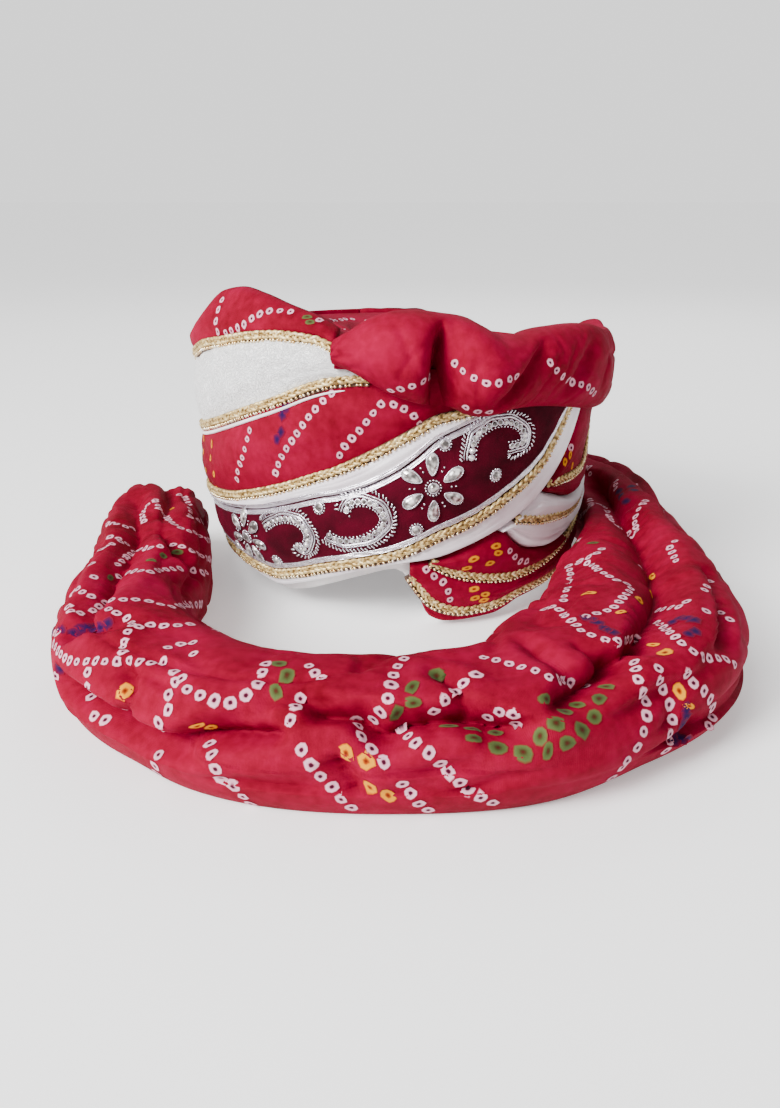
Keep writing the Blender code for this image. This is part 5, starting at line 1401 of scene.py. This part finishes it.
TAIL_STRINGS = (
    ((53, 643), (60, 653), (68, 660), (78, 662), (96, 661), (109, 662), (124, 661), (135, 661), (149, 663),
     (171, 662)),
    ((89, 667), (86, 681), (90, 694), (96, 703)), ((42, 675), (52, 675), (64, 679)),
    ((91, 715), (101, 719), (114, 722)),
    ((173, 670), (180, 677), (187, 689), (201, 696), (213, 700), (225, 702), (237, 702), (248, 694), (257, 685),
     (262, 674), (266, 663)),
    ((180, 678), (170, 688), (168, 701), (168, 711), (158, 724), (151, 733)),
    ((162, 751), (154, 761), (156, 768), (160, 780), (170, 787), (195, 795), (210, 799), (225, 801)),
    ((209, 741), (212, 755), (215, 768), (224, 781), (238, 790), (246, 800), (257, 807)),
    ((304, 695), (298, 702), (292, 715), (288, 732), (295, 743), (304, 753), (311, 765), (321, 777), (333, 788),
     (343, 801), (356, 810)),
    ((307, 664), (314, 672), (322, 679)), ((124, 642), (123, 655)), ((163, 648), (174, 647), (185, 643), (194, 643)),
    ((190, 654), (204, 655)), ((406, 657), (399, 665), (394, 673), (391, 686), (388, 698), (382, 710), (373, 720)),
    ((355, 717), (360, 730), (364, 742), (372, 749), (379, 756), (389, 769), (399, 780), (409, 791), (419, 804),
     (429, 810)),
    ((479, 673), (461, 685), (452, 695), (443, 703), (433, 712), (425, 719)),
    ((401, 729), (411, 739), (422, 748), (434, 757), (446, 769), (457, 780), (468, 789), (478, 796), (488, 801),
     (498, 804)),
    ((480, 657), (488, 659), (499, 661), (508, 664), (520, 667), (530, 669), (541, 673), (549, 677), (563, 681),
     (577, 684), (590, 687)),
    ((483, 718), (495, 715), (504, 709), (514, 716), (516, 724), (515, 733)),
    ((568, 565), (571, 576), (569, 585), (565, 594), (563, 603)),
    ((577, 563), (590, 564), (600, 571), (616, 580), (631, 587), (623, 597), (613, 608), (600, 613), (588, 615),
     (583, 621)),
    ((541, 611), (554, 607), (564, 615), (575, 624), (584, 633), (595, 636), (607, 640), (620, 641), (636, 638)),
    ((656, 611), (670, 608), (682, 606), (688, 600)), ((711, 580), (703, 592)),
    ((703, 611), (713, 612), (723, 614), (731, 621)),
    ((656, 622), (668, 631), (676, 638), (683, 644), (690, 649), (698, 655), (706, 658), (718, 658), (729, 660),
     (737, 667)),
    ((634, 660), (638, 680), (643, 694), (646, 707), (646, 721), (643, 733), (640, 743), (633, 753), (626, 762),
     (617, 773), (604, 784)),
    ((658, 664), (659, 679), (663, 691), (668, 703), (671, 713), (672, 724), (669, 738), (665, 753), (657, 766)),
    ((686, 672), (694, 684), (701, 688), (708, 696), (712, 705), (712, 717), (708, 728)),
    ((580, 517), (586, 511), (591, 505), (589, 498)), ((597, 503), (605, 508), (612, 521), (623, 530), (633, 536)),
    ((589, 466), (591, 478)), ((616, 480), (615, 492)), ((646, 500), (641, 506), (637, 513), (635, 522), (637, 532)),
    ((676, 540), (670, 547), (673, 554), (677, 563)), ((577, 563), (584, 559), (594, 555), (602, 549)),
    ((178, 494), (185, 498), (190, 508), (191, 518), (200, 521), (209, 524), (216, 526)),
    ((155, 500), (162, 513), (168, 519), (175, 525), (185, 530), (195, 533), (202, 538), (211, 541), (222, 543)),
    ((156, 499), (146, 507), (142, 515), (144, 522)), ((106, 524), (116, 524), (126, 527), (133, 529)),
    ((103, 538), (116, 537), (122, 543), (129, 544)), ((98, 551), (106, 547), (114, 543)),
    ((116, 566), (125, 558), (134, 552), (143, 549), (153, 548), (162, 546), (176, 545), (185, 548), (195, 552),
     (203, 557), (212, 560), (221, 566)),
    ((116, 578), (125, 575), (130, 572), (139, 571), (150, 572), (162, 570), (175, 569), (187, 569), (197, 572),
     (208, 573), (218, 576)),
    ((90, 564), (100, 562)), ((90, 576), (100, 579)), ((77, 588), (85, 594), (92, 597)),
    ((90, 612), (102, 605), (111, 600), (128, 600), (139, 600), (151, 602), (162, 605), (171, 607), (180, 606),
     (191, 605), (202, 604)),
    ((106, 608), (114, 612), (121, 615), (132, 623), (127, 633), (124, 643)),
    ((135, 628), (145, 625), (159, 626), (172, 626), (185, 625), (197, 624)), ((67, 606), (74, 613), (83, 613)),
    ((50, 633), (59, 633)),
)
# Pitch and size of the rings on the red wrap, on the other wraps, and on the tail's far and near parts
RED_WRAP_RINGS, WRAP_RINGS, FAR_RINGS, NEAR_RINGS = (
    (0.0060, 0.0046), (0.0064, 0.0046), (0.0060, 0.0047), (0.0068, 0.0056))
NEAR_LINE = 680  # the tail's near part lies below this line of the picture


def lay_charted(string, pitch, size):
    """Rings where the camera's rays through a charted line meet the cloth."""
    route = np.array(string, float)
    t = np.linspace(0, len(route) - 1, max(8, int(np.abs(np.diff(route, axis=0)).sum())))
    hits = [seen_at(x, y) for x, y in zip(spline(route, 0, t), spline(route, 1, t))]
    hits = [h for h in hits if h]
    if len(hits) > 3:
        string_of_rings(hits, pitch, size)


for n, string in enumerate(WRAP_STRINGS):
    lay_charted(string, *(RED_WRAP_RINGS if n < 4 else WRAP_RINGS))
for string in TAIL_STRINGS:
    lay_charted(string, *(FAR_RINGS if np.mean([y for x, y in string]) < NEAR_LINE else NEAR_RINGS))
print("rings in view", rings.count // 50)

# %% [markdown]
# Coloured rings are larger and stand alone or in small groups. The columns are the place in the picture, the
# length and width in millimetres, and the turn of the long side from the picture's right.

# %% Coloured rings in view
COLOURED = {
    "yellow": ((204, 438, 6, 3, 90), (212, 444, 6, 3, 90), (204, 452, 6, 3, 90), (211, 458, 6, 3, 90),
               (206, 470, 6, 3, 85), (214, 474, 6, 3, 85), (208, 486, 6, 3, 80), (217, 488, 6, 3, 80),
               (496, 546, 7, 4, 10), (498, 553, 7, 4, 0), (474, 559, 7, 4, 15), (490, 563, 7, 4, 10),
               (467, 568, 7, 4, 10), (474, 589, 7, 4, 10), (485, 594, 7, 4, 5), (475, 598, 7, 4, 10),
               (484, 600, 7, 4, 5), (409, 578, 6, 3, 70), (415, 591, 6, 3, 60), (423, 612, 6, 3, 40),
               (563, 452, 6, 3, 80), (570, 455, 6, 3, 80), (565, 462, 6, 3, 80), (572, 466, 6, 3, 80),
               (125, 691, 10, 7, 50), (197, 726, 8, 4, 20), (211, 727, 7, 6, 40), (203, 735, 9, 4, 5),
               (336, 717, 8, 3, 25), (328, 728, 8, 6, 0), (349, 732, 9, 5, 85), (346, 753, 13, 6, -65),
               (366, 761, 11, 7, -55), (370, 787, 11, 7, -60), (388, 795, 8, 6, -50), (78, 738, 8, 4, -30),
               (91, 747, 8, 4, -32), (112, 760, 9, 5, -30), (127, 769, 8, 4, -25), (589, 593, 8, 5, 0),
               (643, 569, 9, 5, -50), (652, 576, 7, 4, -60), (650, 586, 7, 4, -80), (651, 593, 7, 4, -80),
               (639, 600, 8, 5, -10), (648, 612, 7, 4, -60), (621, 612, 7, 3, 15), (653, 645, 8, 3, 0),
               (665, 653, 9, 7, -30), (667, 673, 10, 6, 85), (676, 667, 8, 4, -60), (679, 691, 10, 6, -65),
               (689, 706, 7, 3, -10), (168, 502, 6, 4, -40), (172, 509, 6, 4, -40)),
    "green": ((279, 664, 7, 6, 0), (287, 675, 8, 7, 60), (276, 691, 9, 6, -70), (436, 676, 10, 8, 30),
              (412, 687, 9, 6, 60), (413, 703, 7, 5, 0), (397, 713, 9, 6, 65), (449, 726, 11, 5, 0),
              (472, 729, 8, 4, 0), (474, 738, 11, 5, -10), (495, 733, 9, 5, 0), (498, 748, 11, 7, 0),
              (523, 752, 11, 8, -10), (540, 736, 8, 7, 70), (548, 751, 9, 5, 80), (606, 687, 10, 5, 0),
              (599, 699, 10, 8, 80), (594, 717, 8, 7, 50), (582, 730, 8, 7, -40), (567, 743, 9, 7, 0),
              (577, 705, 8, 5, 0), (565, 712, 11, 7, 10), (556, 723, 10, 7, 0), (546, 699, 9, 5, 0),
              (151, 560, 6, 5, 0), (163, 556, 6, 5, 0), (177, 552, 7, 5, 0), (126, 560, 7, 4, 20),
              (110, 578, 8, 4, 45), (575, 543, 8, 4, 0), (593, 543, 8, 4, 0), (307, 317, 6, 4, 0),
              (310, 322, 6, 4, 0)),
    "blue": ((283, 411, 11, 7, 80), (278, 436, 11, 6, 80), (598, 624, 26, 12, -25), (683, 620, 18, 9, 10),
             (692, 634, 12, 7, 0), (684, 717, 14, 16, 80), (680, 741, 16, 12, 0), (623, 497, 14, 14, -50),
             (634, 489, 12, 9, -50), (91, 628, 30, 7, 15), (56, 633, 8, 6, 0), (60, 668, 7, 10, 0)),
}
LONGEST, WIDEST, WIDTH_SEEN = 0.008, 0.007, 0.92
STAIN_PART, STAIN_STEP, STAIN_SWAY = 5, 7, 2.5
for dye, spots in COLOURED.items():
    for x, y, long, wide, turn in spots:
        right, down = math.cos(math.radians(turn)), -math.sin(math.radians(turn))
        parts = round(long / STAIN_PART) if dye == "blue" else 1
        for part in range(parts):
            shift, sway = STAIN_STEP * (part - (parts - 1) / 2), STAIN_SWAY * math.sin(5 * part)
            place = x + shift * right + sway * down, y + shift * down + sway * right
            here, ahead = seen_at(*place), seen_at(place[0] + 2 * right, place[1] + 2 * down)
            if here and ahead and np.linalg.norm(ahead[0] - here[0]) > 1e-6:
                add_ring(*here, ahead[0] - here[0], min(long / 1000, LONGEST), min(wide / 1000, WIDEST) * WIDTH_SEEN,
                         dye)

# %% [markdown]
# Out of the picture's view the same sort of strings go on: slanting lines over the wraps, crossing waves on the
# tail, and rings round the crown. They are worked out, and only kept where the camera doesn't see.

# %% Strings out of view
HIDDEN_BY = 0.012  # how far behind other cloth a point has to lie


def out_of_view(point):
    """Whether the camera's ray to a point of the cloth meets other cloth first, or no cloth at all."""
    away = Vector(point) - CAMERA_AT
    hit = red_cloth.ray_cast(CAMERA_AT, away.normalized())
    return hit[0] is None or hit[3] < away.length - HIDDEN_BY


def hidden_string(hits, pitch, size):
    """The parts of a string that the camera doesn't see, each laid as a string of its own."""
    kept = []
    for hit in [*hits, None]:
        if hit and out_of_view(hit[0]):
            kept.append(hit)
        else:
            if len(kept) > 6:
                string_of_rings(kept, pitch, size)
            kept = []


def cloth_hits(starts, directions, *reach):
    """Where these rays meet the red cloth, as points with normals."""
    hits = [red_cloth.ray_cast(Vector(a), Vector(b), *reach) for a, b in zip(starts, directions)]
    return [(np.array(h[0]), np.array(h[1])) for h in hits if h[0]]


def hung_on_wall(angles, heights, out=0.03):
    """Points of the red cloth that face outwards at these angles and heights, with normals."""
    start = on_wall(angles, heights, out)
    return cloth_hits(start, unit(on_wall(angles, heights, 0.0) - start), out + 0.004)


# Columns: lower and upper seam, first and last angle, step from string to string, slant in degrees
HIDDEN_SLANTS = ((red_line, white_line, -164, -66, 9, 13), (crown_line, crown_top, -164, -62, 12, 16),
                 (hem_line, lappet_line, 62, 165, 10, -12), (top_line, crossing, 95, 166, 11, -10),
                 (satin_top, top_line, 84, 166, 15, -10))
share = np.linspace(0.06, 0.94, 60)
for low, high, first, last, step, slant in HIDDEN_SLANTS:
    for n, angle in enumerate(np.arange(first, last, step)):
        line = angle + slant * share + 1.5 * np.sin(share * 5 + n)
        hidden_string(hung_on_wall(line, low(line) + (high(line) - low(line)) * share), 0.0060, 0.0046)
for n, angle in enumerate(np.arange(92, 168, 9)):
    line = angle - 9 * share + 1.5 * np.sin(share * 5 + n)
    hidden_string(hung_on_wall(line, 0.032 + 0.036 * share, 0.024), 0.0060, 0.0046)
line = np.linspace(169.5, 190.5, 60)
for height in (0.052, 0.080, 0.108, 0.136):
    hidden_string(hung_on_wall(line, height - 0.020 * np.abs(line - 180) / 10), 0.0058, 0.0045)

rows, around = tail_points.shape[:2]
round_roll = np.roll(tail_points, -1, axis=1) - np.roll(tail_points, 1, axis=1)
tail_normals = unit(np.cross(np.gradient(tail_points, axis=0), round_roll))
for n, start in enumerate(np.arange(-0.2, TAIL_LENGTH, 0.028)):
    side = np.linspace(-10, 190, 220)
    u = start + (0.055 if n % 2 else -0.055) * (side - 90) / 90 + 0.008 * np.sin(np.radians(side * 3 + 70 * n)) + 0.1
    keep = (u > 0.01) & (u < TAIL_LENGTH - 0.02)
    i, j = (u[keep] / TAIL_LENGTH * (rows - 1)).astype(int), (side[keep] / 360 * around).astype(int) % around
    if keep.sum() > 8:
        hidden_string(list(zip(tail_points[i, j], tail_normals[i, j])), 0.0068, 0.0054)

CROWN_FOOT = 0.12  # cloth below this height isn't the crown's
for radius, first, last in ((0.30, 0, 360), (0.55, 10, 350), (0.78, 5, 330)):
    turn = np.radians(np.linspace(first, last, 300))
    wave = radius + 0.05 * np.sin(5 * turn)
    above = np.stack((TURBAN_X + axes[0] * wave * np.sin(turn), TURBAN_Y - axes[1] * wave * np.cos(turn),
                      np.full(len(turn), 0.3)), axis=-1)
    hits = cloth_hits(above, np.tile((0.0, 0.0, -1.0), (len(turn), 1)))
    hidden_string([h for h in hits if h[0][2] > CROWN_FOOT], 0.0064, 0.0046)

rings.make("dyed_rings", "red_tie_dyed_cloth")

# %% [markdown]
# ## Floor
#
# A plain pale floor carries the soft shadow under the turban. It is stage, and not part of the object.

# %% The floor
FLOOR_HALF, FLOOR_LEVEL, FLOOR_GLOW = 40, -0.0004, 0.35

floor_finish = Finish("pale_floor", (0.93, 0.93, 0.93), 0.7)
floor_finish.shader.inputs["Emission Color"].default_value = (1, 1, 1, 1)
floor_finish.shader.inputs["Emission Strength"].default_value = FLOOR_GLOW
floor_mesh = bpy.data.meshes.new("floor")
floor_corners = [(x * FLOOR_HALF, y * FLOOR_HALF, FLOOR_LEVEL) for x, y in ((-1, -1), (1, -1), (1, 1), (-1, 1))]
floor_mesh.from_pydata(floor_corners, [], [(0, 1, 2, 3)])
floor_mesh.materials.append(floor_finish.material)
floor = bpy.data.objects.new("floor", floor_mesh)
bpy.context.scene.collection.objects.link(floor)

# %% [markdown]
# ## Finish
#
# The dressed model has to keep the size of the imported one.

# %% Count the pieces
print("pieces", len(made_pieces))
